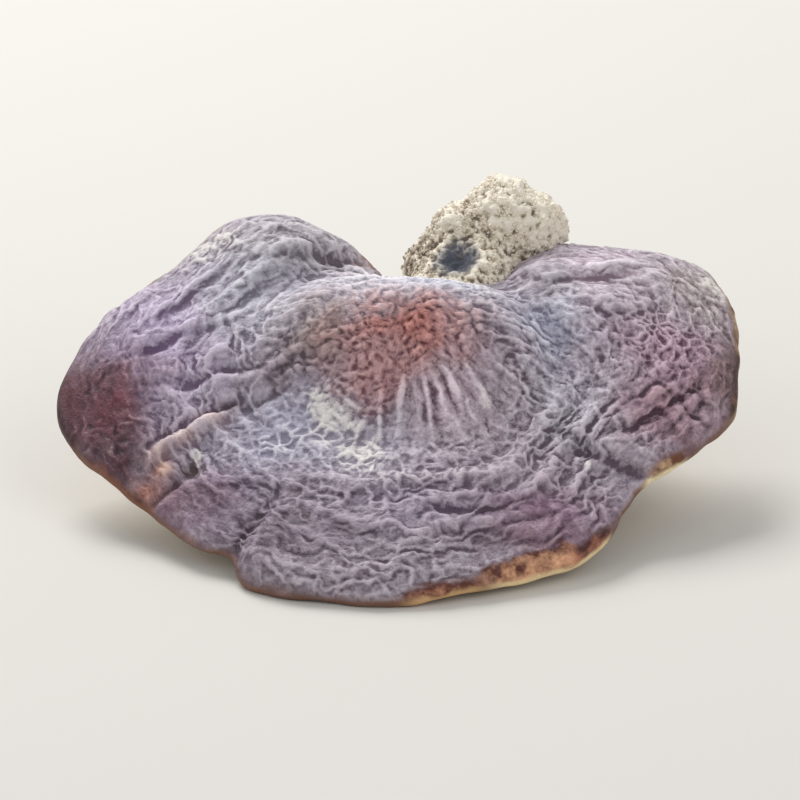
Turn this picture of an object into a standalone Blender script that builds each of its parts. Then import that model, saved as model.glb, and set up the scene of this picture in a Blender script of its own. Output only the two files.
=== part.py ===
"""Reishi mushroom: a kidney-shaped bracket cap on a short side stem.

The frame is metres with +Z up. The stem stands at the back on its flat cut foot, whose centre is the
origin, and the cap leans down towards the front (-Y) until its rim rests on z = 0.
The cap is drawn in its own frame in millimetres: x to the right, y back towards the notch and z up out
of the crust, from the growth centre, which is the old boss that the growth zones ring.
"""

from math import pi, radians, sin

import bmesh
import bpy
import numpy as np
from mathutils import Vector, noise

MM = 0.001

# Place and lean of the cap
CAP_TILT = radians(21.0)
GROWTH_CENTRE = (-16.0, -27.0)  # over the floor, from the middle of the foot, mm

# Rim of the cap, anticlockwise from the right: x, y, lift of the rim, thickness of the rim (mm)
RIM = (
    (70.4, 3.0, -3.0, 5.5),
    (70.3, 16.5, -1.5, 5.5),
    (66.5, 26.5, 0.5, 5.5),
    (56.5, 31.7, 2.5, 5.5),
    (44.0, 32.5, 3.5, 6.0),
    (31.5, 32.5, 5.0, 7.0),
    (25.0, 27.0, 5.5, 9.0),
    (18.0, 20.0, 5.5, 11.0),
    (8.0, 16.5, 5.5, 12.0),
    (-2.5, 18.0, 6.0, 11.5),
    (-8.5, 27.5, 7.0, 9.5),
    (-16.5, 34.0, 8.0, 7.5),
    (-26.0, 37.5, 9.0, 6.5),
    (-36.5, 36.5, 8.0, 5.5),
    (-43.0, 32.5, 6.0, 5.5),
    (-52.5, 24.3, 3.0, 5.0),
    (-62.0, 17.0, 0.5, 5.0),
    (-70.6, 5.5, -3.0, 5.0),
    (-73.2, -5.0, -6.0, 5.0),
    (-69.0, -15.5, -8.0, 5.0),
    (-59.0, -26.3, -9.0, 5.0),
    (-49.1, -37.0, -9.0, 5.0),
    (-41.7, -44.1, -8.5, 5.0),
    (-35.9, -46.5, -7.5, 5.0),
    (-33.0, -54.0, -7.8, 5.5),
    (-22.8, -59.3, -6.0, 5.5),
    (-4.0, -62.5, -4.8, 5.5),
    (14.3, -58.0, -5.2, 5.5),
    (29.3, -52.3, -7.0, 5.5),
    (39.8, -45.0, -7.2, 5.5),
    (45.2, -36.1, -6.0, 5.5),
    (51.1, -28.0, -4.8, 5.0),
    (56.1, -23.5, -4.2, 5.0),
    (62.8, -17.5, -4.5, 5.0),
    (68.6, -9.5, -4.0, 5.5),
)
SPOKE_CENTRE = (-2.0, -28.0)  # the rings of the cap's mesh shrink to this point, mm
RIM_BAND = 6.0  # width of the band inside the rim that the rim's rings of the mesh are laid on, mm
RIM_STEPS = 16  # steps of the rim's smooth curve from one of its points to the next
ROUNDING = 0.95  # width of the rounded rim over its thickness
CORE_THICKNESS = 15.0  # flesh far from the rim, mm
CORE_DEPTH = 17.0  # how far in from the rim most of that thickness is reached, mm
CORE_SHARE_ABOVE = 0.62  # share of the flesh that lies above the middle sheet, far from the rim
RIM_SHARE_ABOVE = 0.70  # the same at the rim

# Swells of the crust: centre x, y, half widths x, y, height (mm)
SWELLS = (
    (0.0, 4.5, 23.0, 10.5, 5.8),  # hood over the growth centre
    (-8.0, -22.0, 17.0, 8.0, -2.4),  # dusty hollow in front of the hood
    (-49.0, 4.0, 16.0, 16.0, 2.2),  # left lobe
    (51.0, 3.0, 16.0, 15.0, 2.2),  # right lobe
    (4.0, -43.0, 32.0, 10.0, 1.4),  # front lobe
    (-44.1, -25.8, 2.8, 2.2, -1.8),  # pit at the foot of the pleat
    (-50.3, -25.0, 3.2, 2.6, 1.5),  # bump beside the pit
    (38.3, -23.0, 3.0, 2.4, -1.0),  # dent where the right lobe folds over the front one
)

# Folds of the crust: depth, half width, step (mm) and the line that the fold deepens along.
# A negative depth is a pleat. The first two are the valleys between the hood and the two back lobes.
FOLDS = (
    (3.6, 5.0, 0.0, ((-38.0, -2.0), (-30.0, 10.0), (-17.0, 19.0), (0.0, 32.0))),
    (3.4, 5.0, 0.0, ((38.0, -14.0), (33.0, -2.0), (25.0, 10.0), (10.0, 30.0))),
    (1.2, 2.2, 0.9, ((-21.0, -2.0), (-31.0, -6.0), (-39.0, -5.0), (-49.0, -8.0))),
    (1.6, 2.0, -0.3, ((-22.0, -8.5), (-29.0, -13.0), (-39.0, -16.5), (-50.0, -24.0))),
    (-1.7, 2.2, 0.0, ((-32.0, -9.0), (-41.0, -13.0), (-48.0, -17.5), (-56.0, -23.5))),
    (1.4, 2.2, 0.6, ((-42.0, -24.0), (-47.0, -27.5), (-52.0, -31.0), (-58.0, -35.0))),
    (2.4, 2.8, 1.3, ((-25.0, -31.0), (-29.5, -38.5), (-33.5, -45.0), (-38.0, -53.0))),
    (2.0, 2.6, 1.1, ((31.0, -19.0), (38.0, -23.5), (46.0, -26.0), (60.0, -30.0))),
    (1.3, 2.6, 0.5, ((40.0, -21.5), (47.0, -18.0), (54.0, -12.0), (64.0, -4.0))),
    (1.2, 2.4, 1.0, ((20.0, 10.5), (30.0, 12.0), (39.0, 15.0), (54.0, 17.5))),
    (1.1, 2.2, 1.0, ((-34.0, 19.0), (-25.0, 20.8), (-17.0, 23.5), (-8.0, 24.5))),
)
FOLD_START, FOLD_END = 0.4, 0.2  # shares of its length over which a fold deepens and runs out
LIP_REACH = 4.0  # how far a fold's step reaches, over its half width

# Growth zones: share of the way from the growth centre to the rim, height of the ridge there (mm)
ZONES = ((0.42, 0.3), (0.52, 0.7), (0.62, 1.0), (0.73, 1.0), (0.84, 1.2))
ZONE_WIDTH = 0.034
ZONE_WAVER, ZONE_WAVER_LENGTH = 0.10, 24.0  # how far the zones stray from their share, over how many mm
ZONE_PATCH_LENGTH = 20.0  # how soon a zone's ridge rises and fades along its run, mm
WAVE_HEIGHT, WAVE_LENGTH = 1.6, 19.0  # slow undulation of the whole crust, mm

# Mesh of the cap: drawn fine, made even and then thinned to what its shape needs
SPOKES = 240
TOP_RINGS = 46
RIM_RINGS = 8
UNDER_RINGS = 16
RIM_SAMPLES = 600
CAP_VOXEL = 1.3  # mm
KEPT_SHARE = 0.133

# Stem: middle line and radius from the foot up to the knee and forward under the cap (mm)
STEM_LINE = (
    (0.0, 0.0, -4.0, 14.0),
    (0.2, 0.6, 6.0, 12.5),
    (1.0, 2.0, 20.0, 10.5),
    (1.8, 1.6, 32.0, 10.5),
    (1.0, -2.0, 41.5, 10.5),
    (-4.0, -9.0, 40.5, 10.0),
    (-10.0, -18.0, 34.5, 9.5),
)
# Lumps of the knee and of the foot: x, y, z, radius (mm)
LUMPS = (
    (5.0, 1.0, 52.0, 8.5),
    (-4.0, -1.0, 48.0, 7.2),
    (10.5, 1.0, 49.5, 7.7),
    (-7.5, -2.0, 41.0, 8.5),
    (10.0, 1.5, 42.0, 8.0),
    (-1.0, -2.0, 43.0, 9.5),
    (8.0, 6.5, 40.0, 8.5),
    (-4.0, 7.5, 41.0, 8.0),
    (4.0, 8.5, 47.0, 7.5),
    (9.0, -1.0, 32.0, 7.5),
    (-8.5, 3.0, 29.5, 6.0),
    (7.0, 5.0, 11.0, 8.0),
    (-7.5, 4.0, 8.0, 7.5),
    (-3.0, -7.5, 6.0, 8.0),
)
STEM_VOXEL = 2.3  # mm
JOINT_GAP = 0.5  # between the cap's skin and the stem, mm
FLOOR_BLOCK = (60.0, 60.0, 20.0)  # what is cut away below the foot, mm


def rim_curve(count):
    """Even steps round a smooth curve through the rim's points: rows of x, y, lift and thickness."""
    knots = np.array(RIM)
    before, after, second = np.roll(knots, 1, 0), np.roll(knots, -1, 0), np.roll(knots, -2, 0)
    t = np.linspace(0.0, 1.0, RIM_STEPS, endpoint=False)[None, :, None]
    p0, p1, p2, p3 = (k[:, None, :] for k in (before, knots, after, second))
    bend = 2 * p0 - 5 * p1 + 4 * p2 - p3
    curve = 0.5 * (2 * p1 + (p2 - p0) * t + bend * t**2 + (3 * p1 - p0 - 3 * p2 + p3) * t**3)
    closed = np.vstack([curve.reshape(-1, 4), curve[0, :1]])
    length = np.concatenate([[0.0], np.cumsum(np.hypot(*np.diff(closed[:, :2], axis=0).T))])
    steps = np.linspace(0.0, length[-1], count, endpoint=False)
    return np.stack([np.interp(steps, length, column) for column in closed.T])


def rim_fields(x, y):
    """What the rim gives a place: nearest distance, smooth distance, and the lift and thickness near by."""
    rim_x, rim_y, lift, edge = rim_curve(RIM_SAMPLES)[:, :, None]
    step = np.hypot(rim_x - np.roll(rim_x, 1), rim_y - np.roll(rim_y, 1))
    apart = np.hypot(x[None] - rim_x, y[None] - rim_y) + 0.05
    pull = step / apart**4
    total = pull.sum(0)
    smooth = (0.5 * pi / total) ** (1 / 3)
    return apart.min(0), smooth, (pull * lift).sum(0) / total, (pull * edge).sum(0) / total


def line_place(x, y, points):
    """Distance to a line through the points, side of it (1 left, -1 right) and share run along it."""
    nearest, side, run = np.full(x.shape, 1e9), np.ones(x.shape), np.zeros(x.shape)
    for k, ((ax, ay), (bx, by)) in enumerate(zip(points, points[1:])):
        run_x, run_y = bx - ax, by - ay
        along = np.clip(((x - ax) * run_x + (y - ay) * run_y) / (run_x**2 + run_y**2), 0.0, 1.0)
        away_x, away_y = x - ax - along * run_x, y - ay - along * run_y
        closer = np.hypot(away_x, away_y) < nearest
        nearest = np.where(closer, np.hypot(away_x, away_y), nearest)
        side = np.where(closer, np.sign(run_x * away_y - run_y * away_x), side)
        run = np.where(closer, (k + along) / (len(points) - 1), run)
    return nearest, side, run


def waver(x, y, length, layer):
    """Smooth noise between about -1 and 1 over the crust, for waves of the given length in mm."""
    flat = zip(x.ravel() / length, y.ravel() / length)
    return np.array([noise.noise(Vector((a, b, layer))) for a, b in flat]).reshape(x.shape)


def crust_relief(x, y, rim_distance):
    """Height that hood, hollows, folds and growth zones add to the plain crust, mm."""
    height = WAVE_HEIGHT * waver(x, y, WAVE_LENGTH, 3.0)
    for centre_x, centre_y, half_x, half_y, rise in SWELLS:
        height += rise * np.exp(-(((x - centre_x) / half_x) ** 2) - ((y - centre_y) / half_y) ** 2)
    for depth, width, step, points in FOLDS:
        distance, side, run = line_place(x, y, points)
        groove = np.exp(-((distance / width) ** 2))
        lip = side * (1 - groove) * np.exp(-((distance / (LIP_REACH * width)) ** 2))
        strength = np.clip(run / FOLD_START, 0.0, 1.0) * np.clip((1 - run) / FOLD_END, 0.0, 1.0)
        height += (step * lip - depth * groove) * strength
    grown = np.hypot(x, y)
    share = grown / (grown + rim_distance) + ZONE_WAVER * waver(x, y, ZONE_WAVER_LENGTH, 7.0)
    for zone, rise in ZONES:
        strength = 0.75 + 0.9 * waver(x, y, ZONE_PATCH_LENGTH, 11.0 + 9.0 * zone)
        height += rise * strength * np.exp(-(((share - zone) / ZONE_WIDTH) ** 2))
    return height


def cap_rings():
    """Points of the cap, mm, in rings from the middle of the crust over the rim to the middle below."""
    rim = rim_curve(SPOKES)[:2].T
    along = np.roll(rim, -1, axis=0) - np.roll(rim, 1, axis=0)
    inward = np.stack([-along[:, 1], along[:, 0]], axis=1) / np.hypot(*along.T)[:, None]
    middle = np.array(SPOKE_CENTRE)
    sheet_edge = rim + inward * RIM_BAND
    flat = [(middle + (sheet_edge - middle) * k / TOP_RINGS, 1) for k in range(TOP_RINGS)]
    for k in range(RIM_RINGS + 1):
        turn = pi * k / RIM_RINGS
        flat.append((rim + inward * RIM_BAND * (1 - sin(turn)), np.sign(RIM_RINGS - 2 * k)))
    for k in range(UNDER_RINGS - 1, -1, -1):
        flat.append((middle + (sheet_edge - middle) * k / UNDER_RINGS, -1))
    rings = []
    for ring, side in flat:
        x, y = ring.T
        distance, smooth, lift, edge = rim_fields(x, y)
        deep = 1 - np.exp(-((smooth / CORE_DEPTH) ** 1.5))
        flesh = edge + (CORE_THICKNESS - edge) * deep
        above = RIM_SHARE_ABOVE + (CORE_SHARE_ABOVE - RIM_SHARE_ABOVE) * deep
        height = flesh * above + crust_relief(x, y, smooth) if side > 0 else flesh * (1 - above)
        rounded = np.sqrt(1 - (1 - np.clip(distance / (ROUNDING * edge), 0.0, 1.0)) ** 2)
        rings.append(np.stack([x, y, lift + side * height * rounded], axis=1))
    return np.array(rings)


def material(name, colour, roughness):
    """A plain material with the piece's colour."""
    made = bpy.data.materials.new(name)
    made.use_nodes = True
    shader = made.node_tree.nodes["Principled BSDF"]
    shader.inputs["Base Color"].default_value = (*colour, 1.0)
    shader.inputs["Roughness"].default_value = roughness
    return made


def new_object(name, data, collection):
    """A named object for a mesh or a curve, in its collection."""
    made = bpy.data.objects.new(name, data)
    collection.objects.link(made)
    return made


def hidden(cutter):
    """Marks a helper, which is no piece of the mushroom."""
    cutter.hide_render = True
    cutter.display_type = "WIRE"
    return cutter


def evaluated_mesh(thing):
    """The mesh that an object's modifiers or curve give; the object itself is removed."""
    bpy.context.view_layer.update()
    mesh = bpy.data.meshes.new_from_object(thing.evaluated_get(bpy.context.evaluated_depsgraph_get()))
    bpy.data.objects.remove(thing)
    return mesh


def cap_mesh(helpers):
    """The cap: a sphere whose rings are laid over the crust, round the rim and along the underside."""
    points = cap_rings()
    steps = len(points) - 1
    shell = bmesh.new()
    bmesh.ops.create_uvsphere(shell, u_segments=SPOKES, v_segments=steps, radius=1.0)
    for vertex in shell.verts:
        ring = round(np.arccos(np.clip(vertex.co.z, -1.0, 1.0)) / pi * steps)
        spoke = round(np.arctan2(vertex.co.y, vertex.co.x) / (2 * pi) * SPOKES) % SPOKES
        vertex.co = points[ring][spoke] * MM
    fine = bpy.data.meshes.new("fine_cap")
    shell.to_mesh(fine)
    shell.free()
    drawn = new_object("fine_cap", fine, helpers)
    even = drawn.modifiers.new("even", "REMESH")
    even.mode = "VOXEL"
    even.voxel_size = CAP_VOXEL * MM
    thin = drawn.modifiers.new("thin", "DECIMATE")
    thin.ratio = KEPT_SHARE
    mesh = evaluated_mesh(drawn)
    mesh.name = "cap"
    mesh.shade_smooth()
    return mesh


def build_cap(collection, helpers):
    """The cap, leaned forward, with the lowest point of its rim on the floor."""
    cap = new_object("cap", cap_mesh(helpers), collection)
    cap.data.materials.append(material("cap_crust", (0.22, 0.13, 0.15), 0.6))
    cap.rotation_euler.x = CAP_TILT
    lowest = min((cap.rotation_euler.to_matrix() @ v.co).z for v in cap.data.vertices)
    cap.location = (GROWTH_CENTRE[0] * MM, GROWTH_CENTRE[1] * MM, -lowest)
    return cap


def stem_trunk(helpers):
    """The stem's bent trunk as a closed mesh, from a curve of varying radius."""
    curve = bpy.data.curves.new("trunk", "CURVE")
    curve.dimensions = "3D"
    curve.bevel_depth = MM
    curve.bevel_resolution = 4
    curve.use_fill_caps = True
    curve.resolution_u = 6
    line = curve.splines.new("NURBS")
    line.points.add(len(STEM_LINE) - 1)
    for point, (x, y, z, radius) in zip(line.points, STEM_LINE):
        point.co = (x * MM, y * MM, z * MM, 1.0)
        point.radius = radius
    line.use_endpoint_u = True
    line.order_u = 4
    return evaluated_mesh(new_object("trunk", curve, helpers))


def cap_cutter(cap, cutters):
    """A copy of the cap, swollen by the gap that the stem keeps to it."""
    cutter = new_object("cap_cutter", cap.data.copy(), cutters)
    cutter.rotation_euler, cutter.location = cap.rotation_euler, cap.location
    swell = cutter.modifiers.new("swell", "DISPLACE")
    swell.strength = JOINT_GAP * MM
    swell.mid_level = 0.0
    return hidden(cutter)


def floor_cutter(cutters):
    """A block below the floor, which cuts the foot flat."""
    bpy.ops.mesh.primitive_cube_add(size=MM)
    block = bpy.context.object
    block.name = "floor_cutter"
    block.scale = FLOOR_BLOCK
    block.location.z = -0.5 * FLOOR_BLOCK[2] * MM
    bpy.ops.object.transform_apply(location=True, rotation=False, scale=True)
    for holder in list(block.users_collection):
        holder.objects.unlink(block)
    cutters.objects.link(block)
    return hidden(block)


def build_stem(cap, collection, cutters):
    """The stem: trunk and lumps fused, cut flat at the foot and cut back to the cap's skin."""
    body = bmesh.new()
    body.from_mesh(stem_trunk(cutters))
    bmesh.ops.remove_doubles(body, verts=body.verts, dist=0.01 * MM)
    for x, y, z, radius in LUMPS:
        ball = bmesh.ops.create_icosphere(body, subdivisions=3, radius=radius * MM)
        bmesh.ops.translate(body, verts=ball["verts"], vec=(x * MM, y * MM, z * MM))
    mesh = bpy.data.meshes.new("stem")
    body.to_mesh(mesh)
    body.free()
    stem = new_object("stem", mesh, collection)
    stem.data.materials.append(material("stem_bark", (0.45, 0.36, 0.27), 0.85))
    fuse = stem.modifiers.new("fuse", "REMESH")
    fuse.mode = "VOXEL"
    fuse.voxel_size = STEM_VOXEL * MM
    fuse.use_smooth_shade = True
    soften = stem.modifiers.new("soften", "SMOOTH")
    soften.factor = 0.5
    soften.iterations = 4
    for cutter in (cap_cutter(cap, cutters), floor_cutter(cutters)):
        cut = stem.modifiers.new(cutter.name, "BOOLEAN")
        cut.operation = "DIFFERENCE"
        cut.object = cutter
    return stem


def main():
    """Builds the mushroom."""
    for old in list(bpy.data.objects):
        bpy.data.objects.remove(old)
    pieces = bpy.data.collections.new("reishi_mushroom")
    cutters = bpy.data.collections.new("cutters")
    for collection in (pieces, cutters):
        bpy.context.scene.collection.children.link(collection)
    cap = build_cap(pieces, cutters)
    build_stem(cap, pieces, cutters)


main()
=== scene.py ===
"""Looks of a dried reishi mushroom: a wrinkled kidney-shaped cap on a short side stem.

Sizes are millimetres, and the meshes are made in metres. The cap is drawn in its own frame: x to the
right, y back towards the notch and z up out of the crust, from the growth centre, which is the old boss
that the growth zones ring.
"""

import logging
from dataclasses import dataclass, replace
from enum import Enum
from functools import partial
from math import cos, pi, radians, sin

import bmesh
import bpy
import numpy as np
from mathutils import Matrix, Vector, noise


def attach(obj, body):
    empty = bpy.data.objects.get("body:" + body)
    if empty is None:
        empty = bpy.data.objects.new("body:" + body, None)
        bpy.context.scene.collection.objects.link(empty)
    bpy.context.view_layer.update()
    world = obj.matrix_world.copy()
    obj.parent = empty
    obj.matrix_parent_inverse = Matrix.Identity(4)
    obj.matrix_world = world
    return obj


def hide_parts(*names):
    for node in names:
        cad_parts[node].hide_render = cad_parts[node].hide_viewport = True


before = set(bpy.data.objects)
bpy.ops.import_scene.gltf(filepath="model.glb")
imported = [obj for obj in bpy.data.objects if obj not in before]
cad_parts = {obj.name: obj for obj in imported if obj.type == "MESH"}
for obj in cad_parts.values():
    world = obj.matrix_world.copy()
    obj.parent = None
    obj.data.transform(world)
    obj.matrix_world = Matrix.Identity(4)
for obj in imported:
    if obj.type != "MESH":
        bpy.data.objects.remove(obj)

MM = 0.001
LOG = logging.getLogger("reishi")
RING_REACH = 45.0  # mm that one unit of the ring attribute stands for
JOIN = 0.01 * MM  # points nearer to each other than this are one
MODES = {  # the setting that takes a node's mode, where it isn't data_type
    "Math": "operation",
    "VectorMath": "operation",
    "VectorRotate": "rotation_type",
    "MapRange": "interpolation_type",
    "Attribute": "attribute_name",
}

Line = tuple[tuple[float, float], ...]
Rows = tuple[tuple[float, ...], ...]
Field = np.ndarray
Socket = bpy.types.NodeSocket
Tree = bpy.types.NodeTree


class Side(Enum):
    """The faces of the cap's sheet: crust above, the turn of the rim, pores below."""

    CRUST = 1
    TURN = 0
    PORES = -1


class Run(Enum):
    """What a family of wrinkles runs along."""

    RIM = "parallel to the rim"
    SPOKE = "out from the growth centre"
    SLANT = "in a fixed direction over the cap"


class Crest(Enum):
    """What a family of wrinkles looks like across."""

    GROOVE = "long narrow grooves between round ridges"
    RIDGE = "long narrow ridges between round hollows"
    NET = "narrow ridges round closed hollows"


def linear(code: str) -> tuple[float, float, float, float]:
    """Turns an sRGB hex value into a linear colour.

    Args:
        code: Colour as "#rrggbb".

    Returns:
        Red, green, blue and full alpha.
    """
    parts = [int(code[k : k + 2], 16) / 255 for k in (1, 3, 5)]
    red, green, blue = (c / 12.92 if c <= 0.04045 else ((c + 0.055) / 1.055) ** 2.4 for c in parts)
    return red, green, blue, 1.0


def add_node(tree: Tree, kind: str, inputs: object = (), out: int | str = 0, **settings: object) -> Socket:
    """Adds a node with its settings, values and links.

    Args:
        tree: Node tree that gets the node.
        kind: Blender's name for the kind of node, without ShaderNode, and its mode where it has modes.
        inputs: A value, a hex colour or a socket to link for each input that the node shows, in order or
            by name; None skips.
        out: Output that is handed back, of those that the node shows.
        **settings: Properties of the node.

    Returns:
        The output socket, or the node itself where it has no outputs.
    """
    kind, _, mode = kind.partition(" ")
    node = tree.nodes.new(kind if "Node" in kind else "ShaderNode" + kind)
    if mode:
        setattr(node, MODES.get(kind, "data_type"), mode)
    for name, value in settings.items():
        setattr(node, name, value)
    shown = [socket for socket in node.inputs if socket.enabled]
    for place, value in inputs.items() if isinstance(inputs, dict) else enumerate(inputs):
        socket = shown[place] if isinstance(place, int) else node.inputs[place]
        if isinstance(value, bpy.types.NodeSocket):
            tree.links.new(value, socket)
        elif value is not None:
            is_colour = isinstance(value, str) and value.startswith("#")
            socket.default_value = linear(value) if is_colour else value
    shown = node.outputs if isinstance(out, str) else [socket for socket in node.outputs if socket.enabled]
    return shown[out] if len(shown) else node


def new_material(name: str) -> bpy.types.Material:
    """Starts a material with an empty node tree."""
    made = bpy.data.materials.new(name)
    made.use_nodes = True
    made.node_tree.nodes.clear()
    return made


def new_tree(name: str, **inputs: str) -> tuple[Tree, bpy.types.bpy_prop_collection]:
    """Starts a Geometry Nodes tree with named inputs.

    Args:
        name: Name of the tree.
        **inputs: Kind of each input after the geometry.

    Returns:
        The tree and its inputs by name.
    """
    tree = bpy.data.node_groups.new(name, "GeometryNodeTree")
    for label, kind in {"Geometry": "Geometry", **inputs}.items():
        tree.interface.new_socket(label, in_out="INPUT", socket_type="NodeSocket" + kind)
    tree.interface.new_socket("Geometry", in_out="OUTPUT", socket_type="NodeSocketGeometry")
    return tree, add_node(tree, "NodeGroupInput").node.outputs


def raised(tree: Tree, geometry: Socket, height: Socket) -> Socket:
    """Moves a geometry's points outwards by a height in mm."""
    metres = add_node(tree, "Math MULTIPLY", (height, MM))
    offset = add_node(tree, "VectorMath SCALE", (add_node(tree, "GeometryNodeInputNormal"), metres))
    return add_node(tree, "GeometryNodeSetPosition", {"Geometry": geometry, "Offset": offset})


def hollowed(tree: Tree, geometry: Socket, name: str, rounds: int) -> Socket:
    """Stores how far each place lies below the smoothed surface, in mm.

    Args:
        tree: Node tree of the shape.
        geometry: Geometry so far.
        name: Name of the attribute.
        rounds: Rounds of smoothing; more rounds find wider hollows.

    Returns:
        The geometry with the attribute.
    """
    add = partial(add_node, tree)
    here = add("GeometryNodeInputPosition")
    smooth = add("GeometryNodeBlurAttribute FLOAT_VECTOR", {"Value": here, "Iterations": rounds})
    above = add("VectorMath SUBTRACT", (smooth, here))
    depth = add("VectorMath DOT_PRODUCT", (above, add("GeometryNodeInputNormal")))
    depth = add("Math MULTIPLY", (depth, 1 / MM))
    stored = {"Geometry": geometry, "Name": name, "Value": depth}
    return add("GeometryNodeStoreNamedAttribute FLOAT", stored, domain="POINT")


def dressed(tree: Tree, geometry: Socket, skin: Socket) -> Socket:
    """Makes instances real and gives the geometry its material."""
    real = add_node(tree, "GeometryNodeRealizeInstances", (geometry,))
    return add_node(tree, "GeometryNodeSetMaterial", {"Geometry": real, "Material": skin})


def new_object(name: str, data: bpy.types.ID) -> bpy.types.Object:
    """Links a new object to the scene.

    Args:
        name: Name of the object.
        data: Its mesh, curve or light.

    Returns:
        The object.
    """
    made = bpy.data.objects.new(name, data)
    bpy.context.scene.collection.objects.link(made)
    return made


def baked(thing: bpy.types.Object, name: str) -> bpy.types.Mesh:
    """Turns an object with its modifiers into a plain mesh and removes the object.

    Args:
        thing: Object to evaluate.
        name: Name of the mesh.

    Returns:
        The evaluated mesh.
    """
    bpy.context.view_layer.update()
    mesh = bpy.data.meshes.new_from_object(thing.evaluated_get(bpy.context.evaluated_depsgraph_get()))
    bpy.data.objects.remove(thing)
    mesh.name = name
    return mesh


def grown(base: bpy.types.Mesh, tree: Tree, values: dict[str, object], name: str) -> bpy.types.Mesh:
    """Runs a node tree on a mesh.

    Args:
        base: Mesh that the tree starts from.
        tree: Geometry Nodes with named inputs.
        values: What the inputs are set to.
        name: Name of the new mesh.

    Returns:
        The finished mesh.
    """
    thing = new_object(name, base)
    modifier = thing.modifiers.new(name, "NODES")
    modifier.node_group = tree
    for socket in tree.interface.items_tree:
        if socket.in_out == "INPUT" and socket.name in values:
            modifier[socket.identifier] = values[socket.name]
    return baked(thing, name)


def evened(drawn: bpy.types.Mesh, name: str, voxel: float, rounds: int) -> bpy.types.Mesh:
    """Remeshes a drawn shape evenly and softens it.

    Args:
        drawn: Mesh, which may be several that reach into each other.
        name: Name of the new mesh.
        voxel: Spacing of the new mesh, mm.
        rounds: Rounds of smoothing.

    Returns:
        The even mesh.
    """
    thing = new_object(name, drawn)
    even = thing.modifiers.new("even", "REMESH")
    even.mode = "VOXEL"
    even.voxel_size = voxel * MM
    soften = thing.modifiers.new("soften", "SMOOTH")
    soften.factor = 0.5
    soften.iterations = rounds
    return baked(thing, name)


def as_mesh(shape: bmesh.types.BMesh, name: str) -> bpy.types.Mesh:
    """Turns a drawn shape into a mesh and frees it."""
    mesh = bpy.data.meshes.new(name)
    shape.to_mesh(mesh)
    shape.free()
    return mesh


def vertex_places(mesh: bpy.types.Mesh) -> Field:
    """Reads the mesh's vertices as rows of x, y and z in metres."""
    flat = np.empty(len(mesh.vertices) * 3, np.float32)
    mesh.vertices.foreach_get("co", flat)
    return flat.reshape(-1, 3).astype(float)


def store(mesh: bpy.types.Mesh, name: str, values: Field) -> None:
    """Writes a number or a vector for each vertex.

    Args:
        mesh: Mesh that gets the attribute.
        name: Name of the attribute.
        values: One number or one row of three a vertex.
    """
    kind, part = ("FLOAT", "value") if values.ndim == 1 else ("FLOAT_VECTOR", "vector")
    made = mesh.attributes.new(name, kind, "POINT")
    made.data.foreach_set(part, values.astype(np.float32).ravel())


def waver(x: Field, y: Field, length: float, layer: float) -> Field:
    """Smooth noise between about -1 and 1 over the crust.

    Args:
        x: Places to the right, mm.
        y: Places to the back, mm.
        length: Length of the waves, mm.
        layer: Which of the endless sheets of noise.

    Returns:
        The noise at each place.
    """
    flat = zip(x.ravel() / length, y.ravel() / length)
    return np.array([noise.noise(Vector((a, b, layer))) for a, b in flat]).reshape(x.shape)


@dataclass(frozen=True)
class Swell:
    """A round rise or hollow of the crust (mm)."""

    x: float
    y: float
    half_x: float
    half_y: float
    rise: float

    def height(self, x: Field, y: Field) -> Field:
        """Height that it adds at each place."""
        return self.rise * np.exp(-(((x - self.x) / self.half_x) ** 2) - ((y - self.y) / self.half_y) ** 2)


@dataclass(frozen=True)
class Fold:
    """A groove along a line, with one side of it higher; a negative depth makes a ridge (mm)."""

    depth: float
    half_width: float
    step: float
    line: Line
    start: float = 0.4
    end: float = 0.2
    lip_reach: float = 4.0

    def place(self, x: Field, y: Field) -> tuple[Field, Field, Field]:
        """Finds where each place lies along the line.

        Args:
            x: Places to the right, mm.
            y: Places to the back, mm.

        Returns:
            Distance to the line, side of it (1 left, -1 right) and share run along it.
        """
        nearest, side, run = np.full(x.shape, 1e9), np.ones(x.shape), np.zeros(x.shape)
        for k, ((ax, ay), (bx, by)) in enumerate(zip(self.line, self.line[1:])):
            run_x, run_y = bx - ax, by - ay
            along = np.clip(((x - ax) * run_x + (y - ay) * run_y) / (run_x**2 + run_y**2), 0.0, 1.0)
            away_x, away_y = x - ax - along * run_x, y - ay - along * run_y
            closer = np.hypot(away_x, away_y) < nearest
            nearest = np.where(closer, np.hypot(away_x, away_y), nearest)
            side = np.where(closer, np.sign(run_x * away_y - run_y * away_x), side)
            run = np.where(closer, (k + along) / (len(self.line) - 1), run)
        return nearest, side, run

    def height(self, x: Field, y: Field) -> Field:
        """Height that it adds at each place, fading at both ends of the line."""
        distance, side, run = self.place(x, y)
        groove = np.exp(-((distance / self.half_width) ** 2))
        lip = side * (1 - groove) * np.exp(-((distance / (self.lip_reach * self.half_width)) ** 2))
        strength = np.clip(run / self.start, 0.0, 1.0) * np.clip((1 - run) / self.end, 0.0, 1.0)
        return (self.step * lip - self.depth * groove) * strength


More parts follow.
